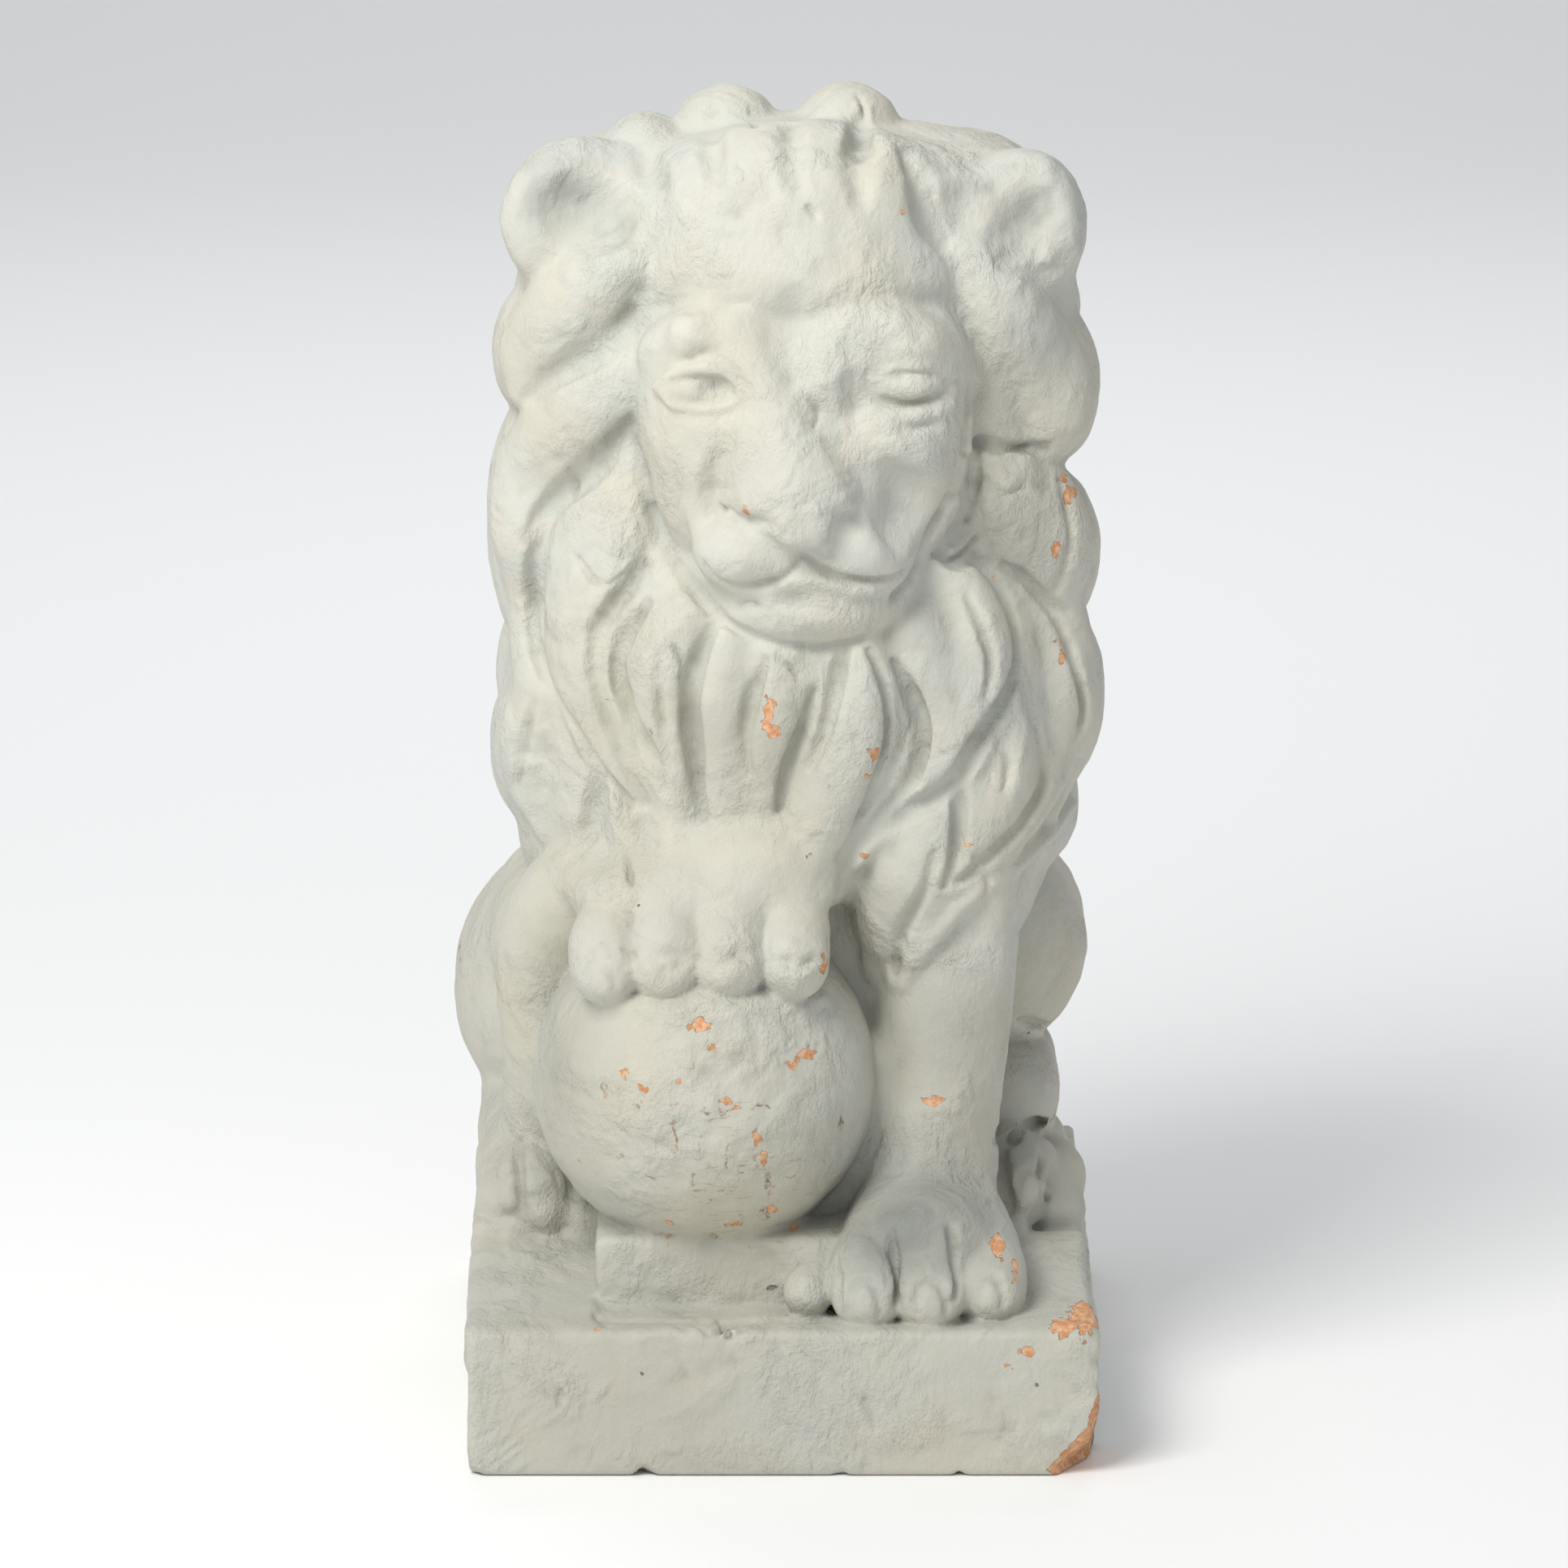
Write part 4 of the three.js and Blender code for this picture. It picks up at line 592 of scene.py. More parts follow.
def face(clay, hand):
    # the mask of the face stands forward of the mane with a firm edge
    clay.add(egg(front(10, 266, -88), [74, 44, 34], [0, 0, 0]), 16)
    clay.add(slab(front(11, 203, -92), [85, 48, 58], [-4, 0, 0], 44), 5)
    clay.add(egg(front(12, 164, -94), [81, 52, 66], [0, 0, 0]), 5)
    clay.add(egg(front(15, 117, -98), [58, 54, 43], [0, 0, 0]), 8)
    hand.look()
    hand.groove([[-79, 180, 2], [-73, 158, 4], [-64, 132, 4], [-54, 112, 4], [-38, 92, 4], [-20, 80, 4],
                 [0, 74, 4], [20, 73, 4], [40, 77, 4]], 3.5, 3)
    hand.groove([[40, 77, 4], [59, 98, 4], [70, 118, 4], [80, 136, 4], [91, 161, 4], [96, 188, 4],
                 [98, 214, 3], [97, 226, 1.5]], 4, 3)
    # brows with the furrow between them
    hand.lock([[-72, 228, 8], [-52, 238, 13], [-33, 243, 15], [-22, 236, 13], [-18, 214, 10]], 5.5, 8)
    hand.lock([[100, 216, 7], [76, 230, 13], [52, 241, 15], [31, 238, 12], [24, 214, 8]], 6.5, 8)
    # nose: low bridge, then a broad wedge down to the nostrils
    hand.lock([[-14, 216, 9], [-14, 196, 14], [-17, 176, 16], [-18, 157, 17]], 6, 8)
    hand.lock([[-3, 208, 9], [-3, 198, 14], [-2, 187, 18], [-1, 175, 23], [3, 163, 27], [8, 151, 30], [10, 141, 23]], 21, 7)
    hand.look()
    hand.groove([[4, 254, 6], [5, 240, 10], [5, 226, 10], [4, 213, 6]], 2, 8)
    hand.groove([[15, 200, 4], [22, 189, 8], [32, 173, 9], [43, 154, 4]], 5, 6)
    hand.lump(-49, 235, [13, 10, 11], 2.5, 5)
    hand.lump(-20, 145, [11, 12, 8], 2, 4)
    hand.lump(36, 147, [10, 12, 8], 3, 4)
    clay.add(egg(front(10, 135, -160), [15, 12, 12], [0, 0, 0]), 5)
    hand.groove([[-49, 246, 1.5], [-36, 250, 3], [-20, 252, 1.5]], 1.5, 3)
    hand.groove([[-50, 221, 1.5], [-42, 225, 3], [-33, 223, 1.5]], 2, 3)
    # eyes in their sockets
    hand.dent(-43, 205, [27, 14, 16], 6, 6)
    hand.dent(64, 204, [30, 16, 17], 6.5, 8)
    hand.dent(38, 199, [12, 13, 18], 6, 5)
    hand.look()
    hand.lump(-46, 206, [22, 12, 10], 5, 3)
    hand.lump(64, 208, [20, 13, 10], 8, 3)
    hand.look()
    hand.ridge([[-68, 208, 1.5], [-58, 214, 3], [-42, 218, 3.5], [-29, 213, 3], [-21, 203, 1.5]], 4, 2)
    hand.ridge([[-64, 204, 1.5], [-57, 198, 3], [-42, 196, 3], [-28, 198, 3], [-21, 203, 1.5]], 3.2, 2)
    hand.dent(-37, 207, [10, 8, 7], 3.6, 2)
    hand.ridge([[46, 210, 1.5], [58, 218, 3], [76, 219, 3], [94, 213, 1.5]], 2.4, 2)
    hand.groove([[48, 201, 1.5], [57, 198, 3], [70, 199, 3], [84, 206, 3], [92, 212, 1.5]], 1.8, 3)
    hand.ridge([[42, 190, 3], [56, 192, 5], [72, 193, 5], [88, 199, 3]], 2.4, 4)
    hand.groove([[46, 184, 2], [60, 184, 3], [80, 189, 2]], 2, 3)
    # lips and chin
    clay.add(egg(front(-16, 123, -131), [31, 25, 21], [0, 0, 8]), 9)
    clay.add(egg(front(40, 126, -131), [28, 25, 22], [0, 0, -8]), 9)
    clay.add(egg(front(16, 93, -124), [42, 25, 17], [0, 0, 0]), 6)
    hand.look()
    hand.groove([[-42, 116, 1.5], [-36, 108, 2.5], [-22, 103.5, 3], [-7, 104.5, 3], [4, 111, 2.5], [10, 119, 1.5]], 3.4, 2)
    hand.groove([[12, 118, 1.5], [18, 113, 2.5], [30, 107, 3], [44, 105.5, 3], [56, 108, 2.5], [66, 115, 1.5]], 3.4, 2)
    hand.ridge([[14, 107, 2], [30, 101, 3.5], [46, 101, 3.5], [58, 105, 2]], 2, 3)
    hand.dent(8, 97, [28, 10, 6], 2.5, 5)
    # folds and hollows of the cheeks
    hand.dent(61, 148, [20, 16, 26], 5, 12)
    hand.ridge([[44, 184, 5], [58, 178, 8], [72, 170, 8], [82, 158, 5]], 3, 6)
    hand.ridge([[95, 190, 3], [91, 170, 6], [84, 146, 5], [78, 130, 3]], 3.5, 4)
    hand.groove([[-31, 178, 3], [-35, 162, 6], [-39, 144, 4]], 3, 6)
    hand.ridge([[-44, 166, 3], [-48, 150, 6], [-46, 134, 4]], 2, 6)
    hand.groove([[-38, 139, 2], [-24, 138, 3], [-8, 136, 3], [-2, 129, 2]], 1.4, 3)
    hand.groove([[24, 128, 2], [28, 136, 3.5], [42, 140, 3.5], [52, 138, 2]], 3, 3)
    # tuft under the chin on the right
    clay.add(limb([front(48, 92, -112) + [9], front(56, 82, -116) + [9], front(59, 72, -116) + [5]]), 4)



def ground(clay):
    # ground under the hind legs and block under the ball
    clay.add(slab([-17, 58, 76], [144.5, 141, 25], [0, 0, 0], 5), 5)
    clay.add(slab([139, -4, 76], [18, 66, 14], [0, 0, 0], 5), 5)
    clay.add(slab([-34, -98, 86], [62, 58, 28], [0, 0, 0], 5), 5)
    clay.add(slab([-128, -132, 74], [33.5, 64, 12], [8, 0, 0], 5), 4)
    clay.add(slab([136, -132, 74], [21, 64, 12], [8, 0, 0], 5), 4)


def lion(clay):
    hand = Hand(clay)
    body_masses(clay)
    hind_legs(clay)
    tail(clay)
    forelegs(clay)
    outer_tufts(clay)
    back_locks(clay)
    hand.look()
    crown(clay, hand)
    hand.look()
    mane_locks(hand)
    paws(clay)
    hand.look()
    nails(hand)
    ears(clay, hand)
    face(clay, hand)
    ground(clay)
def shard(centre, radii, spin_z):
    """A flat-sided piece broken out of an edge."""
    spin = turned([0, 0, spin_z])
    steep = math.sqrt(sum(1 / r ** 2 for r in radii))
    reach = max(radii)

    def distance(x, y, z):
        parts = along_axes(x, y, z, centre, spin)
        return (sum(np.abs(d) / r for d, r in zip(parts, radii)) - 1) / steep

    return Form(distance, np.asarray(centre) - reach, np.asarray(centre) + reach)


corner_shards = [shard([PLINTH_WIDTH / 2 + 2, -PLINTH_DEPTH / 2 - 1, 4], size, 3) for size in BROKEN_CORNER]


def plinth(clay):
    """The plinth, worn round at its edges, with the low front corner on the right broken away."""
    wide, deep, tall = PLINTH_WIDTH / 2, PLINTH_DEPTH / 2, PLINTH_HEIGHT
    clay.add(slab([0, 0, tall / 2], [wide, deep, tall / 2], [0, 0, 0], 3.5), 0)
    for piece in corner_shards:
        clay.cut(piece, 1)
    # smaller bits lost along the edges: place along the front, height, half sizes
    for x, z, size in [
            (wide - 1, tall + 1, (7, 10, 9)), (wide, tall - 16, (4, 7, 10)), (-46, tall + 2, (22, 5, 5)),
            (-70, 0, (26, 7, 6)), (28, -1, (14, 6, 5)), (-wide, tall + 1, (6, 9, 7)), (-wide, 0, (9, 10, 7)),
            (82, tall + 2, (9, 5, 4)), (-112, tall + 2, (12, 4, 4)), (90, 0, (11, 5, 4))]:
        clay.cut(shard([x, -deep, z], size, 11 + x), 1)


def cracks(hand):
    """Dark hairlines and gaps in the clay, as rows in the front layout."""
    for rows in [
            [(78, 120), (86, 117), (94, 121), (101, 128)], [(99, 180), (111, 173), (124, 176), (138, 178)],
            [(94, 174), (102, 164), (100, 150), (96, 138)], [(104, 160), (114, 152), (126, 155)],
            [(-112, 165), (-108, 156), (-111, 148)], [(-108, 118), (-101, 108), (-92, 104), (-84, 110)],
            [(-58, 72), (-52, 64), (-54, 56)], [(15, 200), (18, 193), (16, 187)],
            [(-33, 145), (-26, 142)], [(-24, 93), (-19, 95), (-14, 93)], [(-3, 66), (3, 62), (8, 56)],
            [(39, 361), (42, 349)], [(77, 312), (78, 308)], [(13, 302), (17, 297)], [(-17, 352), (-15, 344)],
            [(100, -38), (107, -52), (104, -60)], [(-86, -32), (-82, -40), (-80, -52)],
            [(44, -176), (50, -184), (47, -194)],
            [(110, -187), (119, -187)],
            [(-46, -284), (-38, -288), (-30, -284)], [(-34, -281), (-28, -289), (-21, -285)],
            [(42, -322), (45, -330), (47, -338)], [(-117, -318), (-118, -326)], [(-98, -278), (-92, -284)]]:
        hand.groove([[x, h, 1.8] for x, h in rows], 2.2, 1)


def box_blur(value, reach):
    """Mean of the clay's distances over a cube of 2 * reach + 1 cells."""
    for axis in range(3):
        pad = [(0, 0)] * 3
        pad[axis] = (reach + 1, reach)
        total = np.cumsum(np.pad(value, pad, mode="edge"), axis=axis, dtype=np.float64)
        count = value.shape[axis]
        upper = np.take(total, range(2 * reach + 1, 2 * reach + 1 + count), axis=axis)
        lower = np.take(total, range(0, count), axis=axis)
        value = ((upper - lower) / (2 * reach + 1)).astype(np.float32)
    return value


def soften(clay, places):
    """Fills and rounds the clay near some places, as thick paint does: x, h, reach."""
    blurred = box_blur(box_blur(clay.value, BLUR_CELLS), BLUR_CELLS)
    for x, h, reach in places:
        centre = hand.touch(x, h)[0]
        ball = egg(centre, [reach] * 3, [0, 0, 0])
        part = clay.near(ball, 0)
        share = np.clip(-ball.distance(*clay.places(part)) / (0.4 * reach), 0, 1)
        clay.value[part] += share * (blurred[part] - clay.value[part])


def lattice_noise(spots, wavelength, seed):
    """Smooth seeded values between -1 and 1, with a hill or hollow about every wavelength."""
    side = 64
    table = np.random.default_rng(seed).uniform(-1, 1, (side, side, side))
    at = spots / wavelength
    low = np.floor(at).astype(int)
    t = at - low
    t = t * t * (3 - 2 * t)
    total = np.zeros(len(spots))
    for corner in itertools.product((0, 1), repeat=3):
        i, j, k = ((low + corner) % side).T
        total += np.prod(np.where(corner, t, 1 - t), axis=1) * table[i, j, k]
    return total


# Rougher patches: x, h, half width and how rough.
WORN = [
    (128, 292, 34, 1.6), (112, 158, 36, 1.5), (12, 196, 20, 1.6), (-26, 144, 16, 1.8), (37, 146, 13, 1.4),
    (-30, 120, 14, 1.0), (-42, -162, 42, 1.35), (-30, -225, 50, 0.9), (-100, 104, 26, 1.6), (-62, 66, 18, 1.4),
    (-142, -240, 28, 1.8), (150, -240, 26, 1.4), (-46, -284, 40, 1.6), (-90, -96, 15, 1.6), (60, 228, 26, 1.2),
    (-56, 236, 22, 1.0), (134, -196, 26, 1.0), (-140, -206, 26, 1.6), (-132, 30, 26, 1.2), (20, 262, 60, 0.8),
    (-20, 330, 60, 0.9), (70, 320, 50, 0.9), (130, -60, 26, 0.8), (60, -180, 30, 0.8), (16, 100, 30, 0.9),
    (155, -325, 26, 1.8), (-58, -96, 15, 1.3), (-26, -95, 15, 1.2), (7, -95, 15, 1.2), (0, 60, 24, 1.1),
]

# Creases round the claws of the raised paw, in the front layout.
CLAWS = [
    [(-99, -92), (-93, -97), (-88, -105)], [(-66, -94), (-60, -98), (-53, -94)],
    [(-32, -93), (-26, -90), (-19, -92)], [(0, -92), (7, -97), (14, -92)],
]

# Places beside the nose, at the left nostril and by a hind paw that paint has filled: x, h and reach.
FILLED = [(16, 203, 15), (17, 188, 15), (25, 173, 16), (35, 159, 16), (41, 143, 13), (-30, 145, 10), (30, 137, 10),
             (135, -191, 13), (136, -222, 12)]
BLUR_CELLS = 2

# The face was modelled with more care than the rest.
FACE_MIDDLE = (10, 185)


def wear(places, normals):
    """How far each place of the surface moves out: hand modelling, trowel marks and worn patches."""
    rough = np.full(len(places), 0.45)
    for x, h, half, much in WORN:
        gap = np.linalg.norm(places - hand.touch(x, h)[0], axis=1) / half
        rough = np.maximum(rough, much * np.clip(1.6 - gap, 0, 1))
    face_gap = np.linalg.norm(places - hand.touch(*FACE_MIDDLE)[0], axis=1)
    calm = 0.4 + 0.6 * np.clip((face_gap - 70) / 40, 0, 1)
    modelling = calm * (0.8 * lattice_noise(places, 27, 3) + 0.45 * lattice_noise(places, 13, 5))
    marks = 0.8 * lattice_noise(places, 7.5, 8) + 0.5 * lattice_noise(places, 4.2, 13)
    flakes = np.clip(lattice_noise(places, 9.5, 21) * 4, -1, 1)
    out = modelling + rough * (0.55 * marks + 0.35 * flakes)
    standing = np.clip((places[:, 2] - 2) / 8, 0, 1)
    return normals * (out * standing)[:, None]


clay = Clay(CLAY_LOW, CLAY_HIGH, CELL)
plinth(clay)
lion(clay)
hand = Hand(clay)
# clay drawn out below the toes, and the hard edge beside the nose filled
hand.ridge([[-101, -114, 3], [-94, -118, 4], [-79, -116, 4], [-60, -119, 4.5], [-43, -115, 4],
            [-26, -118, 4.5], [-10, -115, 4], [6, -118, 4], [20, -112, 3]], 2.5, 5)
hand.ridge([[19, 201, 8], [21, 190, 11], [30, 175, 12], [40, 160, 12], [45, 147, 8]], 4, 10)
hand.dent(10, 131, [16, 12, 13], 4.5, 10)
hand.lump(135, -191, [7, 7, 10], 5, 5)
hand.lump(136, -225, [8, 7, 8], 4, 5)
soften(clay, FILLED)
hand.look()
cracks(hand)
for rows in CLAWS:
    hand.groove([[x, h, 2] for x, h in rows], 1.8, 2)
places, faces = clay.skin()

mesh = bpy.data.meshes.new("lion_statue_painted")
mesh.vertices.add(len(places))
mesh.vertices.foreach_set("co", places.astype(np.float32).ravel())
mesh.loops.add(faces.size)
mesh.loops.foreach_set("vertex_index", faces.ravel().astype(np.int32))
mesh.polygons.add(len(faces))
mesh.polygons.foreach_set("loop_start", np.arange(0, faces.size, 4, dtype=np.int32))
mesh.update(calc_edges=True)
mesh.validate()
normals = np.empty(places.size, np.float32)
mesh.vertices.foreach_get("normal", normals)
places = places + wear(places, normals.reshape(-1, 3))
mesh.vertices.foreach_set("co", (places * 0.001).astype(np.float32).ravel())
mesh.update()
statue = bpy.data.objects.new("lion_statue_painted", mesh)
bpy.context.scene.collection.objects.link(statue)

thinner = statue.modifiers.new("thinner", "DECIMATE")
thinner.ratio = min(1.0, TRIANGLES / (2 * len(faces)))




def apply_modifiers(thing):
    """Leaves the modified mesh on the object, with nothing left to evaluate."""
    graph = bpy.context.evaluated_depsgraph_get()
    made = bpy.data.meshes.new_from_object(thing.evaluated_get(graph))
    thing.modifiers.clear()
    thing.data = made
    return made


def add_layer(mesh, name, values):
    layer = mesh.attributes.new(name, "FLOAT", "POINT")
    layer.data.foreach_set("value", np.asarray(values, np.float32))


mesh = apply_modifiers(statue)
mesh.polygons.foreach_set("use_smooth", np.ones(len(mesh.polygons), bool))
spots = np.empty(len(mesh.vertices) * 3, np.float32)
mesh.vertices.foreach_get("co", spots)
spots = spots.reshape(-1, 3) * 1000
distance = np.clip(clay.value, -12, 12)
for name, millimetres in (("hollow_fine", 4), ("hollow_broad", 14)):
    reach = max(1, round(millimetres / CELL))
    add_layer(mesh, name, clay.read(spots, box_blur(distance, reach)) / millimetres)
add_layer(mesh, "broken", np.min([piece.distance(*spots.T) for piece in corner_shards], axis=0))


# Chips through the paint, in the front layout: x across, h up, half width, half height.
CHIPS = [
    (157, -279, 7, 13), (146, -283, 6, 7), (127, -297, 4, 3), (112, -241, 3.5, 7), (120, -255, 1.5, 6),
    (-8, 38, 3, 8), (-6, 28, 4, 4), (47, 15, 2.5, 5), (44, 4, 1.5, 3), (-20, 143, 2.5, 2.5), (150, 152, 3, 5),
    (146, 160, 3, 2), (143, 123, 3, 5), (146, 66, 2.5, 4), (144, 74, 2, 2), (111, 108, 1.5, 1.5),
    (21, -95, 2.5, 5), (78, -166, 5, 2.5), (-44, -126, 5, 4), (-38, -139, 2, 2), (11, -141, 5, 3),
    (5, -146, 4, 2), (-31, -165, 3, 2), (-26, -170, 3, 1.5), (-55, -155, 2, 1.5), (-73, -160, 3, 2),
    (-83, -151, 1.5, 4), (-14, -186, 1.5, 4), (-10, -196, 1.5, 5), (-7, -222, 2, 4), (-26, -230, 4, 1.5),
    (5, -232, 3, 2), (43, -37, 2, 2), (96, -32, 2, 1.5), (-60, -229, 3, 1.5), (87, 157, 1.5, 1.5),
    (-106, -197, 1.5, 1.5), (62, 300, 1.5, 1.5), (-97, -285, 2, 1.2), (118, -305, 2, 1.2),
]

# Thin rusty scratches on the ball, laid out in the same way.
SCRATCHES = [
    (-57, -186, 0.9, 10), (-14, -191, 1.2, 13), (-8, -210, 1.3, 9), (-30, -195, 0.8, 9), (-10, -225, 2.5, 6),
    (-35, -237, 4, 1.8), (-62, -236, 6, 1.6), (-76, -167, 2, 3), (-58, -168, 6, 0.9), (-36, -171, 8, 0.9),
    (-12, -169, 6, 0.9), (-85, -195, 2.5, 1.5), (30, -177, 1.5, 4), (4, -205, 5, 0.8), (-22, -228, 1.2, 6),
    (-48, -206, 0.8, 5), (10, -224, 3, 1.2), (-94, -160, 1.5, 5), (-70, -206, 4, 0.8),
]
# Where the ball's paint is scuffed by fine brown lines, as x, h, reach and strength.
SCUFFED = [(-28, -212, 62, 1.0), (-40, -166, 40, 0.8), (-5, -228, 34, 1.0)]
# Soft grey patches of painted shade on darker parts such as the ears, the right side, the beard and the legs, paws and
# plinth low down, in the same layout: x, h, how far they spread and how strong they are.
PAINTED_SHADE_PATCHES = [
    (75, -215, 75, 0.75), (84, -130, 60, 0.4), (48, -240, 50, 0.5), (-120, -150, 60, 0.45),
    (122, -195, 50, 0.5), (140, -225, 45, 0.5), (-134, -205, 45, 0.35), (-118, -110, 50, 0.4),
    (122, 126, 40, 0.5), (-60, -345, 130, 0.2), (92, -20, 40, 0.2), (-117, 306, 36, 0.5),
    (124, 296, 34, 0.3), (60, -232, 55, 1.1), (131, 219, 40, 0.3), (-8, 15, 60, 0.3), (95, 40, 60, 0.2),
]
# Warmer, browner paint, laid out in the same way.
WARM = [
    (-8, 20, 80, 0.6), (-95, 50, 80, 0.5), (-118, -60, 80, 0.5), (-20, -215, 80, 0.8), (-110, -160, 70, 0.6),
    (140, -100, 60, 0.3), (-150, -110, 60, 0.5),
]


class Nodes:
    """Short way to make shader nodes and join them."""

    def __init__(self, tree):
        self.tree = tree

    def make(self, kind, settings=None, **inputs):
        node = self.tree.nodes.new("ShaderNode" + kind)
        for name, value in (settings or {}).items():
            setattr(node, name, value)
        for name, value in inputs.items():
            self.feed(node.inputs[int(name[1:]) if name[1:].isdigit() else name.replace("_", " ")], value)
        return node

    def feed(self, socket, value):
        if isinstance(value, bpy.types.NodeSocket):
            self.tree.links.new(value, socket)
        elif isinstance(value, bpy.types.Node):
            self.tree.links.new(value.outputs[0], socket)
        else:
            socket.default_value = value

    def sum(self, kind, a, b=None, c=None, clamp=False):
        node = self.tree.nodes.new("ShaderNodeMath")
        node.operation = kind
        node.use_clamp = clamp
        for socket, value in zip(node.inputs, (a, b, c)):
            if value is not None:
                self.feed(socket, value)
        return node.outputs[0]

    def ramp(self, value, low, high):
        """0 at low, 1 at high, smooth between them."""
        node = self.make("MapRange", {"interpolation_type": "SMOOTHSTEP"}, Value=value)
        node.inputs["From Min"].default_value = low
        node.inputs["From Max"].default_value = high
        return node.outputs[0]

    def noise(self, place, scale, detail=3.0, rough=0.55, warp=0.0):
        node = self.make("TexNoise", None, Vector=place, Scale=scale, Detail=detail, Roughness=rough,
                         Distortion=warp)
        return node.outputs[0]

    def mix(self, share, a, b):
        node = self.make("Mix", {"data_type": "RGBA"})
        self.feed(node.inputs[0], share)
        self.feed(node.inputs[6], a)
        self.feed(node.inputs[7], b)
        return node.outputs[2]

    def layer(self, name):
        node = self.tree.nodes.new("ShaderNodeAttribute")
        node.attribute_name = name
        return node.outputs["Fac"]


def nearest(n, place, marks):
    """How far a place is from the nearest mark, 1 at a mark's edge."""
    least = None
    for x, h, wide, tall in marks:
        at = hand.touch(x, h)[0] * 0.001 + 0.005
        offset = n.make("VectorMath", {"operation": "SUBTRACT"})
        n.feed(offset.inputs[0], place.outputs[0])
        offset.inputs[1].default_value = tuple(at)
        scaled = n.make("VectorMath", {"operation": "DIVIDE"})
        n.feed(scaled.inputs[0], offset.outputs[0])
        scaled.inputs[1].default_value = (wide * 0.001, max(wide, tall) * 0.0015, tall * 0.001)
        length = n.make("VectorMath", {"operation": "LENGTH"})
        n.feed(length.inputs[0], scaled.outputs[0])
        least = length.outputs["Value"] if least is None else n.sum("MINIMUM", least, length.outputs["Value"])
    return least


def clouds(n, place, marks):
    """Soft spots, 1 times their strength in the middle and 0 at their reach."""
    most = None
    for x, h, reach, much in marks:
        gap = n.make("VectorMath", {"operation": "DISTANCE"})
        n.feed(gap.inputs[0], place)
        gap.inputs[1].default_value = tuple(hand.touch(x, h)[0] * 0.001)
        spread = n.sum("MULTIPLY", n.ramp(gap.outputs["Value"], reach * 0.001, 0.0), much)
        most = spread if most is None else n.sum("MAXIMUM", most, spread)
    return most


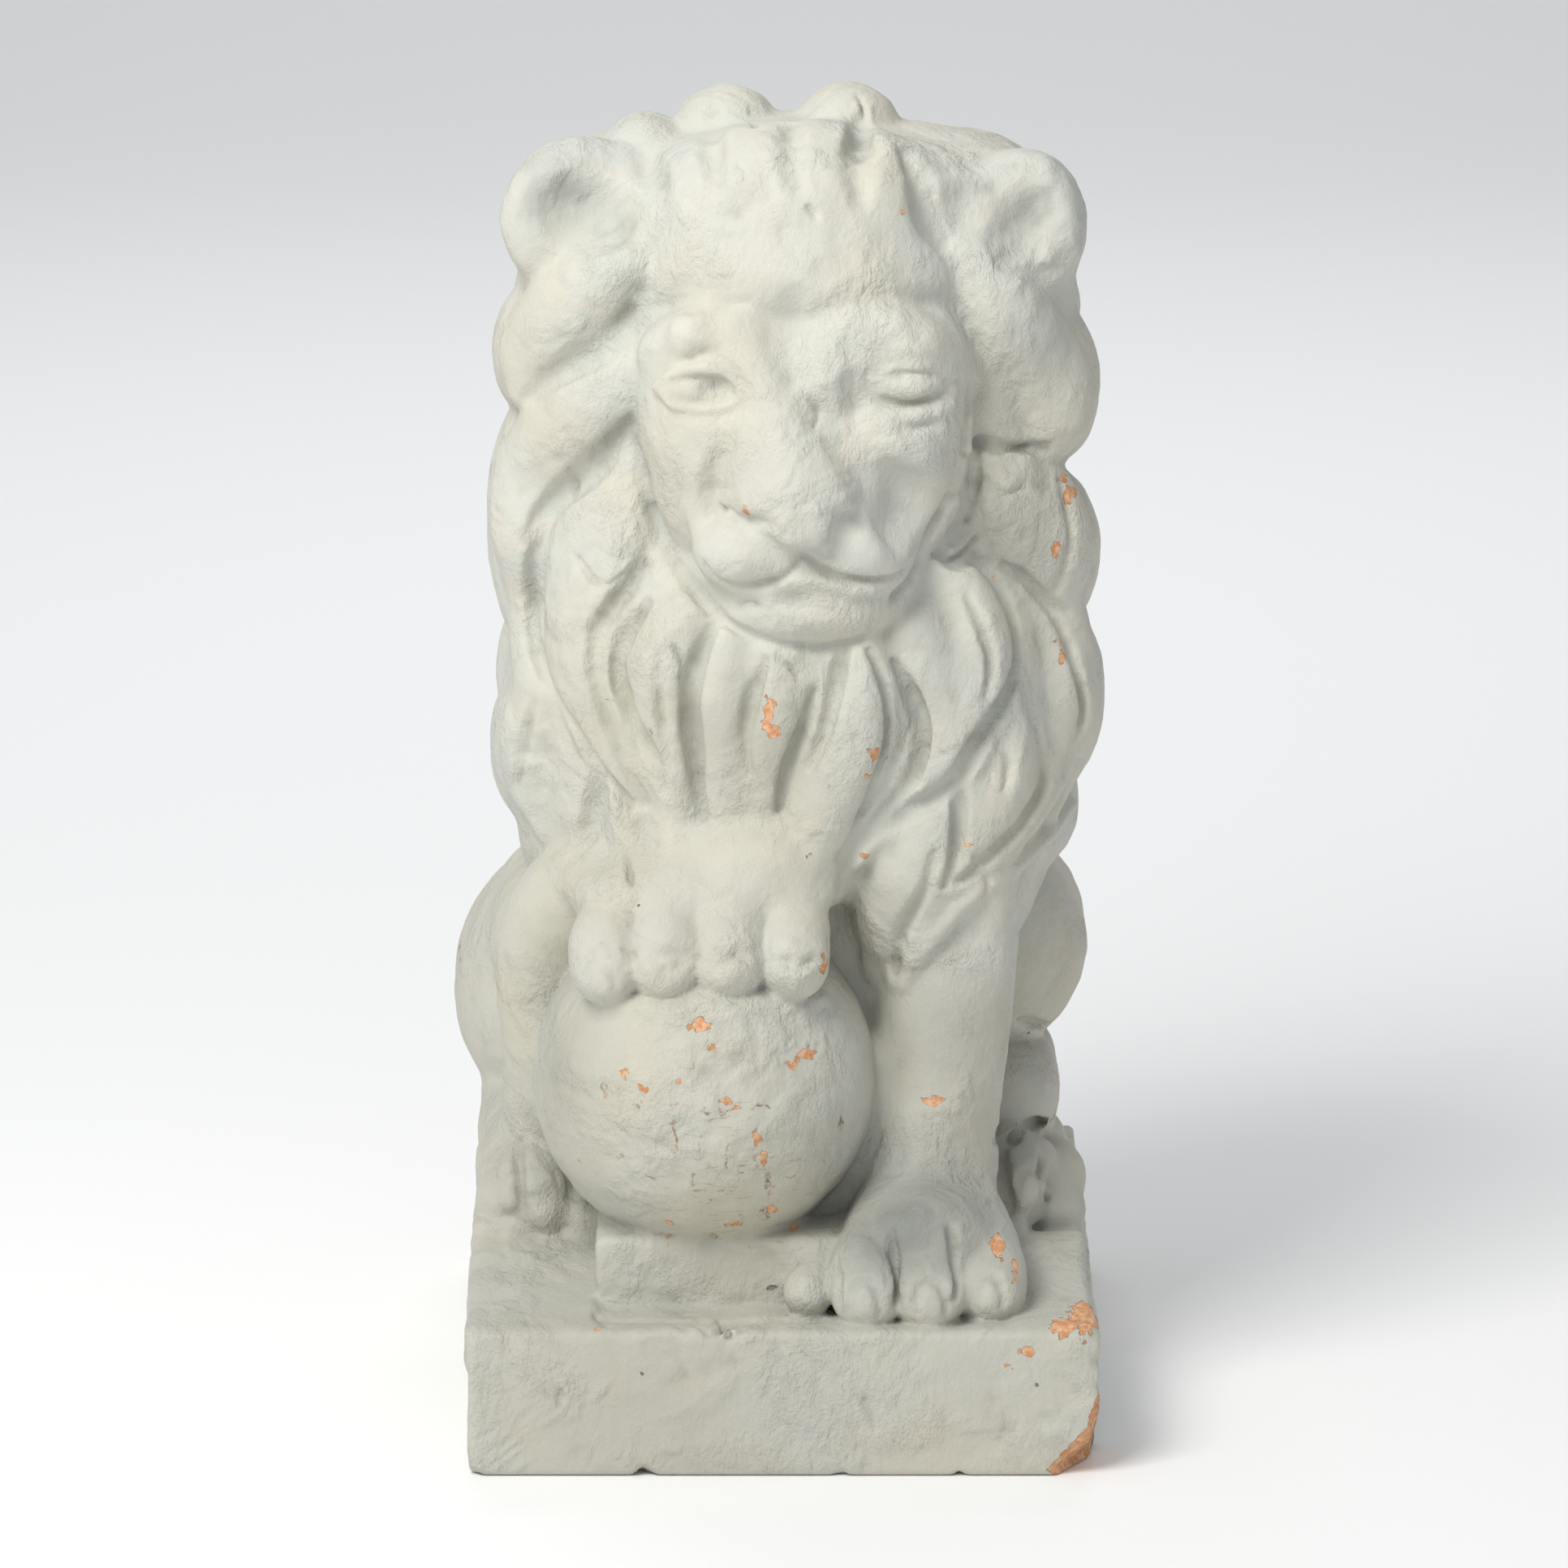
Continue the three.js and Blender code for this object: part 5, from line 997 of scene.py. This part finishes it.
def painted_terracotta():
    """Brushed grey-white paint on orange clay, chipped, cracked and dirty where water stands, with painted shade in
    hollows, creases and low down and painted highlights on ridges and flecks.
    """
    material = bpy.data.materials.new("painted_terracotta")
    material.use_nodes = True
    shader = material.node_tree.nodes["Principled BSDF"]
    n = Nodes(material.node_tree)
    place = n.make("TexCoord").outputs["Object"]
    height = n.make("SeparateXYZ", None, Vector=place).outputs["Z"]
    normal = n.make("NewGeometry").outputs["Normal"]
    up = n.make("SeparateXYZ", None, Vector=normal).outputs["Z"]
    fine = n.layer("hollow_fine")
    broad = n.layer("hollow_broad")

    # paint: pale grey-white, pinkish where it is thin, and painted shade that makes it darker and cooler in the
    # hollows
    cloud = n.noise(place, 9.0, 3, 0.55, 0.4)
    patch = n.noise(place, 26.0, 4, 0.6, 0.6)
    speck = n.noise(place, 300.0, 3, 0.6, 0.2)
    paint = n.mix(n.ramp(cloud, 0.35, 0.65), (0.600, 0.580, 0.495, 1), (0.600, 0.605, 0.550, 1))
    paint = n.mix(n.sum("MULTIPLY", n.ramp(patch, 0.52, 0.72), 0.4), paint, (0.65, 0.585, 0.48, 1))
    # painted shade: darker, cooler grey in the broad hollows
    hollow = n.ramp(n.sum("MULTIPLY", broad, -1.0), 0.05, 0.40)
    paint = n.mix(n.sum("MULTIPLY", hollow, 0.5), paint, (0.45, 0.475, 0.455, 1))
    # painted shade: dark grey in the fine creases, in patches
    crease = n.ramp(n.sum("MULTIPLY", fine, -1.0), 0.08, 0.40)
    crease = n.sum("MULTIPLY", n.sum("MULTIPLY", crease, n.ramp(patch, 0.2, 0.7)), 0.62)
    paint = n.mix(crease, paint, (0.28, 0.27, 0.23, 1))
    # painted highlight: paler paint on ridges and edges
    ridge = n.ramp(fine, 0.10, 0.35)
    paint = n.mix(n.sum("MULTIPLY", ridge, 0.35), paint, (0.70, 0.68, 0.60, 1))
    # painted glints: small paler flecks scattered over the paint
    paint = n.mix(n.sum("MULTIPLY", n.ramp(speck, 0.62, 0.70), 0.22), paint, (0.78, 0.775, 0.72, 1))

    # grey dirt where rain stands, low down and facing up, then painted shade that darkens everything towards the
    # bottom
    low = n.ramp(height, 0.42, 0.05)
    level = n.ramp(up, 0.15, 0.85)
    blotch = n.sum("ADD", 0.55, n.sum("MULTIPLY", patch, 0.75))
    dirt = n.sum("MULTIPLY", n.sum("MULTIPLY", low, level), blotch, clamp=True)
    paint = n.mix(n.sum("MULTIPLY", dirt, 0.34), paint, (0.34, 0.35, 0.32, 1))
    # painted shade: darker towards the bottom
    paint = n.mix(n.sum("MULTIPLY", low, 0.30), paint, (0.42, 0.405, 0.34, 1))
    paint = n.mix(n.sum("MULTIPLY", clouds(n, place, WARM), blotch, clamp=True), paint, (0.56, 0.53, 0.42, 1))
    # painted shade: soft grey patches where the statue lies in shade
    paint = n.mix(n.sum("MULTIPLY", clouds(n, place, PAINTED_SHADE_PATCHES), blotch, clamp=True), paint,
                  (0.27, 0.28, 0.255, 1))

    # places moved about a little, which makes spots and chips ragged
    wander = n.make("VectorMath", {"operation": "MULTIPLY_ADD"})
    n.feed(wander.inputs[0], n.make("TexNoise", None, Vector=place, Scale=170.0, Detail=3.0).outputs["Color"])
    wander.inputs[1].default_value = (0.010, 0.010, 0.010)
    n.feed(wander.inputs[2], place)

    # soot lodged in small pits
    pits = n.make("TexVoronoi", {"feature": "F1"}, Vector=wander, Scale=60.0)
    chance = n.make("SeparateColor", None, Color=pits.outputs["Color"]).outputs[0]
    pit = n.sum("MULTIPLY", n.ramp(pits.outputs["Distance"], 0.12, 0.06), n.ramp(chance, 0.92, 0.94))
    pit = n.sum("MULTIPLY", pit, n.ramp(height, 0.46, 0.36))
    paint = n.mix(n.sum("MULTIPLY", pit, 0.7), paint, (0.15, 0.14, 0.115, 1))

    # rusty scratches round the lower front of the ball
    ragged = n.noise(place, 260.0, 2, 0.6)
    unevenness = n.sum("MULTIPLY", n.sum("SUBTRACT", ragged, 0.5), 0.9)
    rust = n.ramp(n.sum("ADD", nearest(n, wander, SCRATCHES), n.sum("MULTIPLY", unevenness, 2.0)), 1.5, 0.5)
    scuffs = n.make("Mapping", None, Vector=place)
    scuffs.inputs["Scale"].default_value = (0.35, 0.35, 1.6)
    scuffed = n.sum("MULTIPLY", n.ramp(n.noise(scuffs, 240.0, 4, 0.7, 0.8), 0.58, 0.68),
                    clouds(n, place, SCUFFED))
    rust = n.sum("MAXIMUM", n.sum("MULTIPLY", rust, n.ramp(ragged, 0.36, 0.56)), scuffed)
    rust_colour = n.mix(n.ramp(speck, 0.40, 0.60), (0.14, 0.10, 0.06, 1), (0.46, 0.29, 0.17, 1))
    paint = n.mix(n.sum("MULTIPLY", rust, 0.8), paint, rust_colour)

    # chips through to the orange clay
    bare = n.sum("ADD", nearest(n, wander, CHIPS), unevenness)
    # the broken low corner of the plinth is bare clay as well
    broken = n.sum("MULTIPLY_ADD", n.layer("broken"), 0.3, unevenness)
    bare = n.sum("MINIMUM", bare, n.sum("ADD", broken, 0.5))
    bare = n.ramp(bare, 1.02, 0.94)
    clay_colour = n.mix(n.ramp(ragged, 0.35, 0.65), (0.60, 0.28, 0.13, 1), (0.79, 0.48, 0.29, 1))
    # painted shade: the bare clay darker in patches at the very bottom
    clay_colour = n.mix(n.sum("MULTIPLY", n.ramp(patch, 0.45, 0.6), n.ramp(height, 0.06, 0.0)), clay_colour,
                        (0.22, 0.12, 0.06, 1))
    n.feed(shader.inputs["Base Color"], n.mix(bare, paint, clay_colour))

    # brush marks and grit, stronger in some places than in others, and the edges of the chips
    uneven = n.sum("ADD", 0.35, n.ramp(n.noise(place, 17.0, 3, 0.6, 0.5), 0.40, 0.66))
    rough = n.sum("ADD", 0.50, n.sum("MULTIPLY", speck, 0.25))
    n.feed(shader.inputs["Roughness"], n.mix(bare, rough, (0.9, 0.9, 0.9, 1)))
    shader.inputs["Specular IOR Level"].default_value = 0.35
    strokes = n.make("Mapping", None, Vector=place)
    strokes.inputs["Rotation"].default_value = (0.9, 0.7, 0.4)
    strokes.inputs["Scale"].default_value = (1.0, 0.8, 0.6)
    relief = n.sum("ADD", n.sum("MULTIPLY", n.noise(strokes, 110.0, 5, 0.62, 0.5), 1.15),
                   n.sum("MULTIPLY", n.noise(place, 420.0, 3, 0.6, 0.3), 0.34))
    relief = n.sum("MULTIPLY", relief, uneven)
    relief = n.sum("SUBTRACT", relief, n.sum("MULTIPLY", bare, 0.7))
    relief = n.sum("SUBTRACT", relief, n.sum("MULTIPLY", pit, 0.8))
    bump = n.make("Bump", None, Height=relief, Distance=0.0026, Strength=0.9)
    n.feed(shader.inputs["Normal"], bump)
    return material


mesh.materials.clear()
mesh.materials.append(painted_terracotta())
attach(statue, "root")
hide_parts("lion_statue")


def backdrop_paper():
    """Near white under the statue, greyer towards the wall: painted shade where the light falls off."""
    material = bpy.data.materials.new("studio_floor")
    material.use_nodes = True
    shader = material.node_tree.nodes["Principled BSDF"]
    n = Nodes(material.node_tree)
    place = n.make("SeparateXYZ", None, Vector=n.make("TexCoord").outputs["Object"])
    # painted shade: the floor colour greys with distance towards the wall
    away = n.ramp(place.outputs["Y"], 0.3, 5.0)
    n.feed(shader.inputs["Base Color"], n.mix(away, (0.96, 0.96, 0.96, 1), (0.76, 0.76, 0.765, 1)))
    shader.inputs["Roughness"].default_value = 0.9
    return material


def floor():
    """A pale floor that rises into a wall far behind the statue."""
    half_width, near, far, rise = 9.0, -9.0, 7.0, 6.0
    profile = [(near, 0.0), (far - 3, 0.0)]
    profile += [(far - 3 + 3 * math.sin(a), 3 - 3 * math.cos(a)) for a in np.radians(range(6, 91, 6))]
    profile += [(far, rise)]
    verts = [(side * half_width, y, z) for y, z in profile for side in (-1, 1)]
    faces = [(i, i + 1, i + 3, i + 2) for i in range(0, len(verts) - 2, 2)]
    data = bpy.data.meshes.new("studio_floor")
    data.from_pydata(verts, [], faces)
    data.polygons.foreach_set("use_smooth", np.ones(len(faces), bool))
    made = bpy.data.objects.new("studio_floor", data)
    data.materials.append(backdrop_paper())
    bpy.context.scene.collection.objects.link(made)
    return made


def soft_box(name, place, target, size, power, colour):
    light = bpy.data.lights.new(name, "AREA")
    light.size = size
    light.energy = power
    light.color = colour
    made = bpy.data.objects.new(name, light)
    made.location = place
    made.rotation_mode = "QUATERNION"
    made.rotation_quaternion = (Vector(target) - Vector(place)).to_track_quat("-Z", "Y")
    bpy.context.scene.collection.objects.link(made)


floor()
soft_box("key", (-0.85, -1.35, 1.95), (0, 0, 0.45), 1.0, 40, (1.0, 0.985, 0.95))
soft_box("backdrop_wash", (0, 2.6, 3.2), (0, 4.2, 0), 2.5, 60, (1.0, 1.0, 1.0))

world = bpy.data.worlds.new("studio")
world.use_nodes = True
world.node_tree.nodes["Background"].inputs["Color"].default_value = (0.94, 0.97, 1.0, 1)
world.node_tree.nodes["Background"].inputs["Strength"].default_value = 0.46
bpy.context.scene.world = world

camera = bpy.data.objects.new("photo_camera", bpy.data.cameras.new("photo_camera"))
camera.data.sensor_width = 36
camera.data.lens = 36 * PICTURE_PER_MM * LOOK_DISTANCE / PICTURE_SIDE
camera.data.clip_end = 60
camera.location = EYE * 0.001
camera.rotation_euler = (math.pi / 2 - LOOK_DOWN, 0, 0)
bpy.context.scene.collection.objects.link(camera)
bpy.context.scene.camera = camera
bpy.context.scene.view_settings.view_transform = "Standard"
